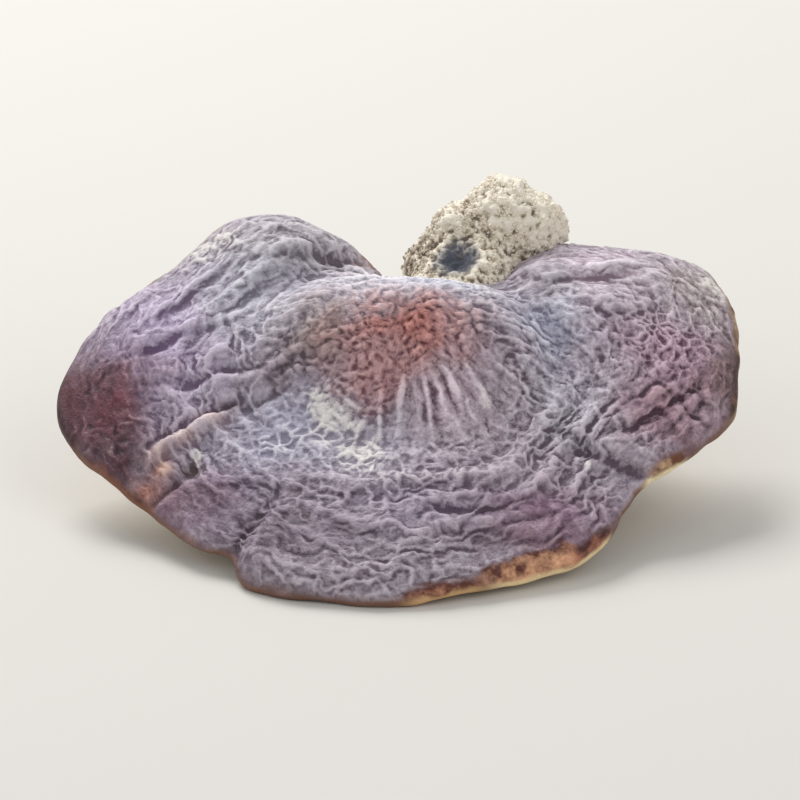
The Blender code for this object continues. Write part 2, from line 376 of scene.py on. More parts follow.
@dataclass(frozen=True)
class Patch:
    """A soft-edged spot of the cap, in its own frame (mm)."""

    x: float
    y: float
    half_x: float
    half_y: float
    strength: float = 1.0

    def mask(self, tree: Tree, place: Socket) -> Socket:
        """Draws the spot in a node tree.

        Args:
            tree: Node tree of a material or of a shape.
            place: Place on the cap, mm.

        Returns:
            A number that falls from the strength in the middle to 0 outside.
        """
        add = partial(add_node, tree)
        away = add("VectorMath SUBTRACT", (place, (self.x, self.y, 0.0)))
        halves = (1 / self.half_x, 1 / self.half_y, 0.0)
        near = add("VectorMath MULTIPLY", (away, halves))
        square = add("VectorMath DOT_PRODUCT", (near, near))
        fall = add("Math MULTIPLY", (square, -1.0))
        peak = add("Math EXPONENT", (fall,))
        return add("Math MULTIPLY", (peak, self.strength))


def patches(*rows: tuple[float, ...]) -> tuple[Patch, ...]:
    """Makes spots from rows of x, y, both half widths and strength."""
    return tuple(Patch(*row) for row in rows)


def strongest(tree: Tree, patches: tuple[Patch, ...], place: Socket) -> Socket:
    """Draws several spots in a node tree.

    Args:
        tree: Node tree of a material or of a shape.
        patches: The spots, at least one.
        place: Place on the cap, mm.

    Returns:
        The strongest spot's mask at each place.
    """
    spots = patches[0].mask(tree, place)
    for patch in patches[1:]:
        spots = add_node(tree, "Math MAXIMUM", (spots, patch.mask(tree, place)))
    return spots


def strayed(tree: Tree, place: Socket, sizes: Rows) -> Socket:
    """Shifts places sideways by smooth noise, so that patterns wander.

    Args:
        tree: Node tree of a material or of a shape.
        place: Place on the cap, mm.
        sizes: Length of the noise's waves and how far they shift, mm, for each scale.

    Returns:
        The shifted places.
    """
    add = partial(add_node, tree)
    moved = place
    for length, shift in sizes:
        noisy = {"Vector": place, "Scale": 1 / length, "Detail": 1.0}
        stray = add("TexNoise", noisy, "Color")
        stray = add("VectorMath SUBTRACT", (stray, (0.5, 0.5, 0.5)))
        stray = add("VectorMath SCALE", (stray, 4.0 * shift))
        moved = add("VectorMath ADD", (moved, stray))
    return moved


@dataclass(frozen=True)
class Wrinkles:
    """A family of shrinkage wrinkles of the crust (mm).

    The width is the spacing across the wrinkles and the length is how far one runs. A family that runs out
    from a focus takes its width at the reach from there.
    """

    name: str
    run: Run
    crest: Crest
    height: float
    width: float
    length: float
    patches: tuple[Patch, ...] = ()
    shares: tuple[float, float] = (0.0, 1.0)
    slant: float = 0.0  # degrees
    focus: tuple[float, float] | None = None
    reach: float = RING_REACH
    edge: float = 0.07
    gain: float = 4.5
    crease: float = 0.3  # share of a cell's width that its ridge takes

    def pattern_place(self, tree: Tree, ring: Socket, place: Socket) -> Socket:
        """Stretches the cap so that round noise runs the right way.

        Args:
            tree: Node tree of the shape.
            ring: Cosine and sine of the turn round the growth centre, and the way out in reaches.
            place: Place on the cap, mm.

        Returns:
            Where to read the noise.
        """
        add = partial(add_node, tree)
        if self.run is Run.SLANT:
            turned = add("VectorRotate Z_AXIS", (place, None, -radians(self.slant)))
            scale = (1 / self.length, 1 / self.width, 1 / self.width)
            return add("VectorMath MULTIPLY", (turned, scale))
        if self.focus:
            away = add("VectorMath SUBTRACT", (place, (*self.focus, 0.0)))
            flat = add("VectorMath MULTIPLY", (away, (1.0, 1.0, 0.0)))
            turn = add("VectorMath NORMALIZE", (flat,))
            out = add("VectorMath LENGTH", (flat,))
            out = add("Math MULTIPLY", (out, 1 / self.reach))
            upright = add("CombineXYZ", (0.0, 0.0, out))
            ring = add("VectorMath ADD", (turn, upright))
        across, along = (self.length, self.width) if self.run is Run.RIM else (self.width, self.length)
        scale = (self.reach / across, self.reach / across, self.reach / along)
        return add("VectorMath MULTIPLY", (ring, scale))

    def mask(self, tree: Tree, share: Socket, place: Socket) -> Socket:
        """Says where on the cap the family shows: in its patches, between its shares of the way out."""
        add = partial(add_node, tree)
        first, last = self.shares
        inner = add("MapRange SMOOTHSTEP", (share, first - self.edge, first + self.edge))
        outer = add("MapRange SMOOTHSTEP", (share, last + self.edge, last - self.edge))
        shown = add("Math MULTIPLY", (inner, outer))
        if self.patches:
            shown = add("Math MULTIPLY", (shown, strongest(tree, self.patches, place)))
        return shown

    def relief(self, tree: Tree, ring: Socket, share: Socket, place: Socket, seed: float) -> Socket:
        """Draws the family's height.

        Args:
            tree: Node tree of the shape.
            ring: Cosine and sine of the turn round the growth centre, and the way out in reaches.
            share: Share of the way from the growth centre to the rim.
            place: Place on the cap, mm.
            seed: Fixed seed of the noise.

        Returns:
            Height in mm, about 0 on average.
        """
        add = partial(add_node, tree)
        where = (self.pattern_place(tree, ring, place), seed, 1.0)
        if self.crest is Crest.NET:
            cells = add("TexVoronoi", where, feature="DISTANCE_TO_EDGE", voronoi_dimensions="4D")
            inner = add("MapRange SMOOTHSTEP", (cells, None, self.crease))
        else:
            grain = add("TexNoise", (*where, 1.0, 0.4), noise_dimensions="4D")
            folded = add("Math ABSOLUTE", (add("Math ADD", (grain, -0.5)),))
            inner = add("Math MULTIPLY", (folded, self.gain), use_clamp=True)
        low, high = (-0.7, 0.3) if self.crest is Crest.GROOVE else (0.7, -0.3)
        height = add("MapRange", (inner, None, None, low * self.height, high * self.height))
        return add("Math MULTIPLY", (height, self.mask(tree, share, place)), label=self.name)


@dataclass(frozen=True)
class Tint:
    """Colours of a zone of the crust: its grooves, with painted shade, and its ridges, with painted light."""

    patch: Patch
    groove: str
    ridge: str


@dataclass(frozen=True)
class RimStretch:
    """A stretch of the rim: how wide its bare band is and the band's colours (mm)."""

    patch: Patch
    width: float
    dark: str
    pale: str
    edge: str


@dataclass(frozen=True)
class CrustFinish:
    """Dried laccate fungus crust: a thin varnish over wood-like flesh, dulled by wrinkles and spore dust.

    The varnish gives a low broad gloss, the wrinkles catch pale dust on their crests, painted light makes the
    crests paler and painted shade darkens the purple brown of the crust in their grooves and deepest creases.
    At the rim the youngest growth is bare and rust brown.
    """

    name: str = "dried_laccate_crust"
    # The groove colour carries painted shade and the ridge colour carries painted light.
    groove: str = "#574552"
    ridge: str = "#b9adb7"
    dust: str = "#d0cedb"
    cream: str = "#e8e1d8"
    # Painted shade in the deepest creases.
    crease_shade: str = "#3a2329"
    rim_width: float = 0.3
    rim_dark: str = "#54302a"
    rim_pale: str = "#8f6355"
    rim_edge: str = "#7c5744"
    roughness: tuple[float, float] = (0.48, 0.8)
    grain: float = 0.7  # mm, fine wrinkles between the modelled ones
    net: tuple[float, float, float] = (17.0, 17.0, 29.0)  # cells of fine ridges on one ring reach
    fleck: float = 0.45  # mm, spore dust; drawn coarser than the real powder so that it shows
    painted_hollow_shade: float = 4.6  # how much painted shade a millimetre of hollow lays on the colour
    strays: Rows = ((11.0, 2.6), (4.0, 1.5), (1.6, 0.7))  # waves and shift of the colours' places, mm
    threads: tuple[float, float, float] = (14.0, 14.0, 40.0)  # fine threads on one ring reach
    drift: float = 5.0  # mm, clouds of dust
    # Each pair says where a layer starts to show and where it shows in full.
    # crests: painted light and shade, from the groove colour to the ridge colour.
    crests: tuple[float, float] = (-0.65, 0.8)
    dusting: tuple[float, float] = (0.75, 1.3)
    creaming: tuple[float, float] = (1.2, 2.3)
    crease_shade_depths: tuple[float, float] = (0.38, 0.9)  # mm of hollow, for the painted shade in the deepest creases
    band: tuple[float, float] = (1.1, -0.7)  # mm inside the edge of the rim's bare band
    lip: tuple[float, float] = (0.3, 0.02)  # turn of the rim
    band_tongues: float = 4.0  # mm, tongues of the band's edge
    band_blotches: float = 3.6  # mm, dark and pale stretches of the band
    tints: tuple[Tint, ...] = tuple(  # x, y, half widths, strength, colour of the grooves, with painted shade, and of the ridges, with painted light
        Tint(Patch(*row[:5]), *row[5:]) for row in (
            (-52, 2, 15, 16, 0.85, "#745980", "#d6c5e0"), (-24, 27, 17, 9, 0.9, "#6e6267", "#c8c0c3"),
            (-31, 12, 12, 11, 0.9, "#66606d", "#c2c1c9"), (-2, 9, 25, 8, 0.95, "#9b93a1", "#eae4ea"),
            (31, 4, 9, 10.5, 0.85, "#6a6a82", "#dad9e4"), (-26, -22, 14, 10, 0.9, "#8a8598", "#c2bfd0"),
            (-8, -26, 13, 8, 0.8, "#8a818e", "#c6c1cc"), (0, -40, 24, 10, 0.85, "#514255", "#ac9eac"),
            (10, -15, 15, 10, 0.95, "#533340", "#e2ced7"), (30, -40, 16, 9, 0.9, "#401a33", "#957186"),
            (29, -48, 14, 3.6, 0.8, "#43222f", "#95717b"), (36, -13, 10, 9, 0.85, "#4b404d", "#d5ced8"),
            (56, 0, 13, 11, 0.9, "#55283b", "#c8a5b7"), (54, -14, 11, 8, 0.95, "#462433", "#b28c97"),
            (40, 22, 16, 9, 0.85, "#8d7584", "#ecdde5"), (62, 20, 10, 10, 0.8, "#786564", "#d9cbc6"),
            (-41, -33, 12, 9, 0.9, "#4d3148", "#a78da4"), (-27, -43.5, 16, 10, 0.95, "#382531", "#837180"),
            (-47, -33, 9, 6, 0.9, "#3a1d28", "#80616d"), (-23, -8, 9.5, 4.8, 0.9, "#43353d", "#94838e"),
            (-51, -3.5, 6, 4.5, 0.6, "#80687e", "#dccadc"), (62, -6, 6, 8, 0.8, "#2c0f19", "#ab848f"),
            (68.5, -1, 4.5, 12, 0.9, "#2d1413", "#80605b"), (58, -20, 7, 4.5, 0.85, "#32141f", "#98737d"),
            (23, -32.5, 11, 3.8, 0.8, "#75656f", "#cbbdc8"),
            (31, 13.5, 5.5, 4.5, 0.85, "#5b5058", "#aca0a9"),
            (-62, -10.5, 11.5, 13, 0.95, "#2b0810", "#672c3a"), (-71, -4, 7, 12, 1, "#2b0a10", "#5f2830"),
            (-61, -8.5, 6, 7, 0.45, "#4f0f1b", "#843b47"), (-60.5, -20, 8, 6.5, 0.95, "#2c0e17", "#5e303d"),
            # painted shade in the slot above the pleat
            (-36.5, -13, 3.2, 1, 0.9, "#33212a", "#57404a"),
            (-40.5, -15.4, 3.2, 1.9, 0.95, "#a28387", "#dcc6c2"),
            (-46.5, -18.5, 3.2, 2, 0.95, "#a28387", "#dcc6c2"),
            (-51.5, -21.4, 2.8, 1.8, 0.9, "#98787c", "#cbb1ae"),
            (-44.1, -25.8, 2.2, 1.6, 0.9, "#453029", "#84685a"),
            # orange-pink bump, its ridge colour with a painted highlight
            (-50.3, -25, 1.9, 1.4, 1, "#b27c6e", "#e6bdab"),
            (-54, -28.5, 4, 2.6, 0.9, "#6f372c", "#b37c69"),
            (-17.5, -1, 7.5, 7, 0.85, "#4f3f3e", "#9f8d88"), (-0.5, -2.5, 13, 6.5, 1, "#581d1b", "#e0968a"),
            (-7, -10, 7.5, 5.5, 0.9, "#703f42", "#d3a4a2"), (7, 9, 9.5, 3, 0.85, "#a3a1b0", "#dcdde6"),
        )
    )
    cream_patches: tuple[Patch, ...] = patches(
        (-15, -18.5, 6, 4.8, 1.15), (-10.5, -26, 5.5, 4.5, 1.1), (-8, -30.5, 7, 3, 0.65),
        (-27, -22.5, 9, 4.5, 0.3), (0, -34, 12, 4, 0.3), (-42, 27.5, 8, 6, 0.8), (18.5, -16.5, 4, 2.4, 0.6),
        (37.6, -25.6, 1, 2, 0.9), (-43, -22.8, 1.8, 1.2, 1.1), (3, 13.5, 14, 4.5, 0.85),
        (67, 24, 4, 6, 0.9),
    )
    clean: tuple[Patch, ...] = patches(  # where little dust lies
        (-65, -8, 11, 14, 1), (-1, -3, 13, 7, 0.9), (55, -12, 12, 9, 0.7), (30, -43, 18, 9, 0.6),
        (11, -16, 13, 8, 0.5), (-42, -34, 12, 9, 0.6), (-27, -43.5, 14, 8, 0.6), (31, 13.5, 6, 5, 0.6),
    )
    stretches: tuple[RimStretch, ...] = tuple(  # x, y, half widths, width of the band, its three colours
        RimStretch(Patch(*row[:4]), *row[4:]) for row in (
            (30, -52, 17, 10, 3.4, "#57200f", "#eab088", "#f0d6a4"),
            (8, -60, 9, 6, 1.4, "#5a2516", "#c48b6c", "#cfa676"),
            (-22, -60, 12, 6, 0.4, "#4b2c29", "#866058", "#74503e"),
            (-60, -27, 11, 9, 0.9, "#4a2019", "#96604c", "#7a4c34"),
            (-73, -4, 7, 17, 0.6, "#2c1518", "#5a3533", "#54362a"),
            (-45, 30, 16, 9, 1.2, "#94867c", "#d2c6b4", "#ded4c2"),
            (-18, 34, 10, 8, 1, "#857a80", "#cdc4c8", "#d8d0ca"),
            (8, 17, 16, 7, 1, "#8f8790", "#d5d3dc", "#dcdae0"),
            (42, 33, 20, 6, 1, "#857678", "#cbbcb8", "#d6c9bc"),
            (70, 14, 7, 16, 1.1, "#7b563f", "#c3a182", "#dcc8a6"),
            (71, -2, 6, 10, 0.9, "#3f231c", "#8a5d4c", "#a0795c"),
            (54, -25, 6, 6, 1, "#6b3c22", "#dcb68c", "#f2dfb6"),
            # darker band here: painted shade under the thin rim
            (39, -46, 6, 6, 1.5, "#48190f", "#b4755b", "#ecd3a2"),
        )
    )

    def material(self, cap_place: Matrix) -> bpy.types.Material:
        """Builds the crust's material.

        Args:
            cap_place: Where the cap's own frame stands.

        Returns:
            The material.
        """
        made = new_material(self.name)
        tree = made.node_tree
        add = partial(add_node, tree)

        objects = add("TexCoord", out="Object")
        frame_of_cap = (objects, cap_place.to_translation(), cap_place.to_euler(), (MM, MM, MM))
        place = add("Mapping", frame_of_cap, vector_type="TEXTURE")
        loose = strayed(tree, place, self.strays)
        ring = add("Attribute ring", out="Vector")
        hollow = add("Attribute hollow", out="Fac")
        valley = add("Attribute valley", out="Fac")

        fine = add("TexNoise", (place, 1 / self.grain, 3.0, None, None, 0.8))
        along = add("VectorMath MULTIPLY", (ring, self.threads))
        thread = add("TexNoise", (along, 1.0, 3.0, None, None, 1.0))
        texture = add("Math ADD", (fine, thread))
        sideways = add("VectorMath SUBTRACT", (place, loose))
        sideways = add("VectorMath SCALE", (sideways, 0.5 / RING_REACH))
        netted = add("VectorMath ADD", (ring, sideways))
        netted = add("VectorMath MULTIPLY", (netted, self.net))
        cells = add("TexVoronoi", (netted, 1.0), feature="DISTANCE_TO_EDGE")
        lines = add("MapRange SMOOTHSTEP", (cells, None, 0.24, 0.16, -0.07))
        shown = add("MapRange", (add("Attribute share", out="Fac"), 0.4, 0.58))
        texture = add("Math MULTIPLY_ADD", (lines, shown, texture))
        texture = add("Math ADD", (texture, -1.0))
        # Painted shade and light: the deeper a place lies in a hollow, the nearer its colour comes to the
        # groove colour.
        height = add("Math MULTIPLY", (hollow, -self.painted_hollow_shade))
        lit = add("Math MULTIPLY_ADD", (texture, 1.1, height))
        crest = add("MapRange", (lit, *self.crests))

        dark, pale = self.groove, self.ridge
        for tint in self.tints:
            spot = tint.patch.mask(tree, loose if tint.patch.half_y > 3.0 else place)
            dark = add("Mix RGBA", (spot, dark, tint.groove))
            pale = add("Mix RGBA", (spot, pale, tint.ridge))
        colour = add("Mix RGBA", (crest, dark, pale))

        powder = add("TexNoise", (place, 1 / self.fleck, 2.0))
        drift = add("TexNoise", (place, 1 / self.drift, 4.0))
        caught = add("Math MULTIPLY_ADD", (powder, 0.5, add("Math MULTIPLY_ADD", (valley, 0.7, drift))))
        dusty = add("MapRange SMOOTHSTEP", (caught, *self.dusting, None, 0.5))
        dusty = add("Math MULTIPLY", (dusty, crest))
        bare = add("Math SUBTRACT", (1.0, strongest(tree, self.clean, loose)))
        dusty = add("Math MULTIPLY", (dusty, bare), use_clamp=True)
        colour = add("Mix RGBA", (dusty, colour, self.dust))
        spread = strongest(tree, self.cream_patches, loose)
        for layer, share in ((powder, 0.6), (crest, 0.75), (drift, 0.6)):
            spread = add("Math MULTIPLY_ADD", (layer, share, spread))
        creamy = add("MapRange SMOOTHSTEP", (spread, *self.creaming, None, 0.85))
        colour = add("Mix RGBA", (creamy, colour, self.cream))
        colour = self.rim_colour(tree, colour, place, fine)
        # Painted shade: the deepest creases go near black.
        shaded_creases = add("MapRange SMOOTHSTEP", (hollow, *self.crease_shade_depths, None, 0.65))
        colour = add("Mix RGBA", (shaded_creases, colour, self.crease_shade))

        gloss = add("MapRange", (powder, None, None, *self.roughness))
        rough = add("Math MULTIPLY_ADD", (dusty, 0.3, gloss))
        bump = add("Bump", {"Height": texture, "Strength": 0.8, "Distance": 0.3 * MM})
        skin = {"Base Color": colour, "Roughness": rough, "Normal": bump, "IOR": 1.48}
        varnish = {"Coat Weight": 0.06, "Coat Roughness": 0.35}
        shader = add("BsdfPrincipled", {**skin, **varnish})
        add("OutputMaterial", (shader,))
        return made

    def rim_colour(self, tree: Tree, colour: Socket, place: Socket, fine: Socket) -> Socket:
        """Lays the bare band and the pale edge of the rim over the crust's colour.

        Args:
            tree: The material's node tree.
            colour: Colour of the crust.
            place: Place on the cap, mm.
            fine: Fine noise.

        Returns:
            The colour with the rim.
        """
        add = partial(add_node, tree)
        rim, turn = add("Attribute rim_mm", out="Fac"), add("Attribute turn", out="Fac")
        width, dark, pale, edge = self.rim_width, self.rim_dark, self.rim_pale, self.rim_edge
        for stretch in self.stretches:
            near = stretch.patch.mask(tree, place)
            spot = add("MapRange SMOOTHSTEP", (near, 0.2, 0.7))
            width = add("Mix FLOAT", (spot, width, stretch.width))
            dark = add("Mix RGBA", (spot, dark, stretch.dark))
            pale = add("Mix RGBA", (spot, pale, stretch.pale))
            edge = add("Mix RGBA", (spot, edge, stretch.edge))
        ragged = add("Math ADD", (add("TexNoise", (place, 1 / self.band_tongues, 3.0)), -0.5))
        reach = add("Math MULTIPLY_ADD", (ragged, 1.6, 1.0))
        reach = add("Math MULTIPLY", (reach, width))
        inside = add("Math SUBTRACT", (rim, reach))
        band = add("MapRange SMOOTHSTEP", (inside, *self.band))
        scorched = add("TexNoise", (place, 1 / self.band_blotches, 3.0))
        outwards = add("MapRange", (inside, 0.6, -2.6))
        streak = -1.95  # so low that most of the band stays dark
        for layer, share in ((fine, 0.6), (scorched, 3.4), (outwards, 0.7)):
            streak = add("Math MULTIPLY_ADD", (layer, share, streak))
        streak = add("MapRange", (streak, 0.15, 1.15))
        bare = add("Mix RGBA", (streak, dark, pale))
        colour = add("Mix RGBA", (band, colour, bare))
        lowered = add("Math MULTIPLY_ADD", (ragged, 0.5, turn))
        last = add("MapRange SMOOTHSTEP", (lowered, *self.lip))
        return add("Mix RGBA", (last, colour, edge))


@dataclass(frozen=True)
class PoreFinish:
    """Pore layer below the cap: cork-like tubes with mouths too fine to see, matt and cream to tan."""

    name: str = "dried_pore_layer"
    pale: str = "#d3bd93"
    tan: str = "#a98a60"
    bruise: str = "#7d5f45"
    clouds: float = 11.0  # mm, pale and tan clouds
    scuffs: float = 6.0  # mm, brown scuffs
    mouth: float = 0.45  # mm between pore mouths; real ones are about 0.2 mm and would not show

    def material(self) -> bpy.types.Material:
        """Builds the pore layer's material."""
        made = new_material(self.name)
        tree = made.node_tree
        add = partial(add_node, tree)
        objects = add("TexCoord", out="Object")
        rim = add("Attribute rim_mm", out="Fac")
        clouds = add("TexNoise", (objects, 1 / (self.clouds * MM), 4.0))
        inner = add("Math MULTIPLY_ADD", (rim, 0.035, clouds))
        tanned = add("MapRange", (inner, 0.5, 1.25))
        colour = add("Mix RGBA", (tanned, self.pale, self.tan))
        marks = add("TexNoise", (objects, 1 / (self.scuffs * MM), 5.0))
        marked = add("MapRange", (marks, 0.6, 0.75))
        colour = add("Mix RGBA", (marked, colour, self.bruise))
        mouths = add("TexVoronoi", (objects, 1 / (self.mouth * MM)))
        depth = add("MapRange", (mouths, 0.1, 0.5))
        shade = add("MapRange", (depth, None, None, 0.82, 1.0))
        colour = add("Mix RGBA", (1.0, colour, shade), blend_type="MULTIPLY")
        bump = add("Bump", {"Height": depth, "Strength": 0.5, "Distance": 0.12 * MM})
        shader = add("BsdfPrincipled", {"Base Color": colour, "Roughness": 0.9, "Normal": bump, "IOR": 1.45})
        add("OutputMaterial", (shader,))
        return made


@dataclass(frozen=True)
class MyceliumFinish:
    """Dried mycelium on old stem bark: crumbly cream felt on the knee over dull red-brown bark.

    The felt is matt and pale, with grey-brown painted shade in the hollows between its crumbs and painted
    light making it paler higher up, and the bark has a faint gloss and painted shade in its grooves.
    """

    name: str = "dried_mycelium_on_bark"
    crumb_pale: str = "#ebe1d0"
    crumb_mid: str = "#c9bca6"
    # darkest tone: grey-brown crumbs and the painted shade of the felt's hollows
    crumb_dark: str = "#7a6b5d"
    pit: str = "#50525c"
    bark_pale: str = "#7a5346"
    bark_dark: str = "#3b2420"
    cork: str = "#b08a5e"
    knee: tuple[float, float] = (31.0, 41.0)  # mm, heights between which bark gives way to felt
    tongues: float = 22.0  # mm, how far the felt's lower edge goes up and down
    tongue_width: float = 6.0  # mm
    grain: float = 0.8  # mm, fine crumbs
    stains: float = 4.5  # mm, grey-brown clouds
    painted_top_light: float = 0.012  # painted light: how much paler a millimetre of height makes the felt
    pale_side: tuple[float, float] = (-14.0, 12.0)  # mm to the right, where it starts and stops getting paler
    mid_tone: tuple[float, float] = (0.9, 1.3)
    pale_tone: tuple[float, float] = (1.22, 1.55)
    pit_place: tuple[float, float, float] = (-5.0, -13.0, 48.4)  # mm
    pit_radius: float = 4.8  # mm

    def felted(self, tree: Tree, place: Socket) -> Socket:
        """Says how much of the bark the felt hides.

        Args:
            tree: Node tree of the material or of the shape.
            place: Place on the stem, mm.

        Returns:
            1 on the felt, 0 on the bark and a ragged edge between them.
        """
        z = add_node(tree, "SeparateXYZ", (place,), "Z")
        ragged = add_node(tree, "TexNoise", (place, 1 / self.tongue_width, 3.0))
        height = add_node(tree, "Math MULTIPLY_ADD", (ragged, self.tongues, z))
        low, high = (end + self.tongues / 2 for end in self.knee)
        return add_node(tree, "MapRange SMOOTHSTEP", (height, low, high))

    def material(self, loose: bool = False) -> bpy.types.Material:
        """Builds the stem's material.

        Args:
            loose: Whether it is for the loose crumbs, each of one tone.

        Returns:
            The material.
        """
        made = new_material(self.name + "_crumbs" * loose)
        tree = made.node_tree
        add = partial(add_node, tree)
        objects = add("TexCoord", out="Object")
        place = add("VectorMath SCALE", (objects, 1 / MM))
        fine = add("TexNoise", (place, 1 / self.grain, 3.0))
        if loose:
            tone = add("Attribute tone", out="Fac")
            high = add("Math MULTIPLY_ADD", (tone, 0.55, 0.2))
            high = add("Math MULTIPLY_ADD", (fine, 0.3, high))
        else:
            # Painted shade: hollows between the crumbs get darker tones.
            hollow = add("Attribute hollow", out="Fac")
            high = add("Math MULTIPLY_ADD", (hollow, -1.6, fine))
        z = add("SeparateXYZ", (place,), "Z")
        stain = add("TexNoise", (place, 1 / self.stains, 3.0))
        side = add("MapRange", (add("SeparateXYZ", (place,), "X"), *self.pale_side))
        # Grey-brown stains, painted light higher up and a paler right side.
        for layer, share in ((stain, 0.5), (z, self.painted_top_light), (side, 0.36)):
            high = add("Math MULTIPLY_ADD", (layer, share, high))
        high = add("Math ADD", (high, -0.2))
        low, top = (add("MapRange", (high, *tone)) for tone in (self.mid_tone, self.pale_tone))
        crumbs = add("Mix RGBA", (low, self.crumb_dark, self.crumb_mid))
        colour = add("Mix RGBA", (top, crumbs, self.crumb_pale))
        rough = 0.95
        if not loose:
            colour, rough = self.bark_colour(tree, colour, place, z, hollow, fine)
        bump = add("Bump", {"Height": fine, "Strength": 0.9, "Distance": 0.4 * MM})
        shader = add(
            "BsdfPrincipled", {"Base Color": colour, "Roughness": rough, "Normal": bump, "IOR": 1.45}
        )
        add("OutputMaterial", (shader,))
        return made

    def bark_colour(
        self, tree: Tree, crumbs: Socket, place: Socket, z: Socket, hollow: Socket, fine: Socket
    ) -> tuple[Socket, Socket]:
        """Adds the pit, the bark with painted shade in its grooves, and the cut foot to the felt's colour.

        Args:
            tree: The material's node tree.
            crumbs: Colour of the felt.
            place: Place on the stem, mm.
            z: Height over the floor, mm.
            hollow: How far the place lies below the smoothed surface, mm.
            fine: Fine noise.

        Returns:
            Colour and roughness.
        """
        add = partial(add_node, tree)
        felt = self.felted(tree, place)
        ragged = add("TexNoise", (place, 1 / 4.0, 4.0))
        away = add("VectorMath DISTANCE", (place, self.pit_place))
        near = add("Math MULTIPLY_ADD", (fine, 3.0, away))
        near = add("Math MULTIPLY_ADD", (ragged, 5.0, near))
        pit = add("MapRange SMOOTHSTEP", (near, self.pit_radius + 5.5, self.pit_radius + 2.0))
        crumbs = add("Mix RGBA", (pit, crumbs, self.pit))
        streaks = add("VectorMath MULTIPLY", (place, (0.5, 0.5, 0.08)))
        streak = add("TexNoise", (streaks, 1.0, 4.0))
        # Bark streaks, with painted shade in the bark's grooves.
        bark_streaks_and_groove_shade = add("Math MULTIPLY_ADD", (hollow, -0.9, streak))
        bare = add("MapRange", (bark_streaks_and_groove_shade, 0.3, 0.8))
        bark = add("Mix RGBA", (bare, self.bark_dark, self.bark_pale))
        colour = add("Mix RGBA", (felt, bark, crumbs))
        foot = add("MapRange", (z, 0.35, 0.1))
        cork = add("Mix RGBA", (fine, self.bark_pale, self.cork))
        colour = add("Mix RGBA", (foot, colour, cork))
        rough = add("MapRange", (felt, None, None, 0.6, 0.95))
        return colour, rough


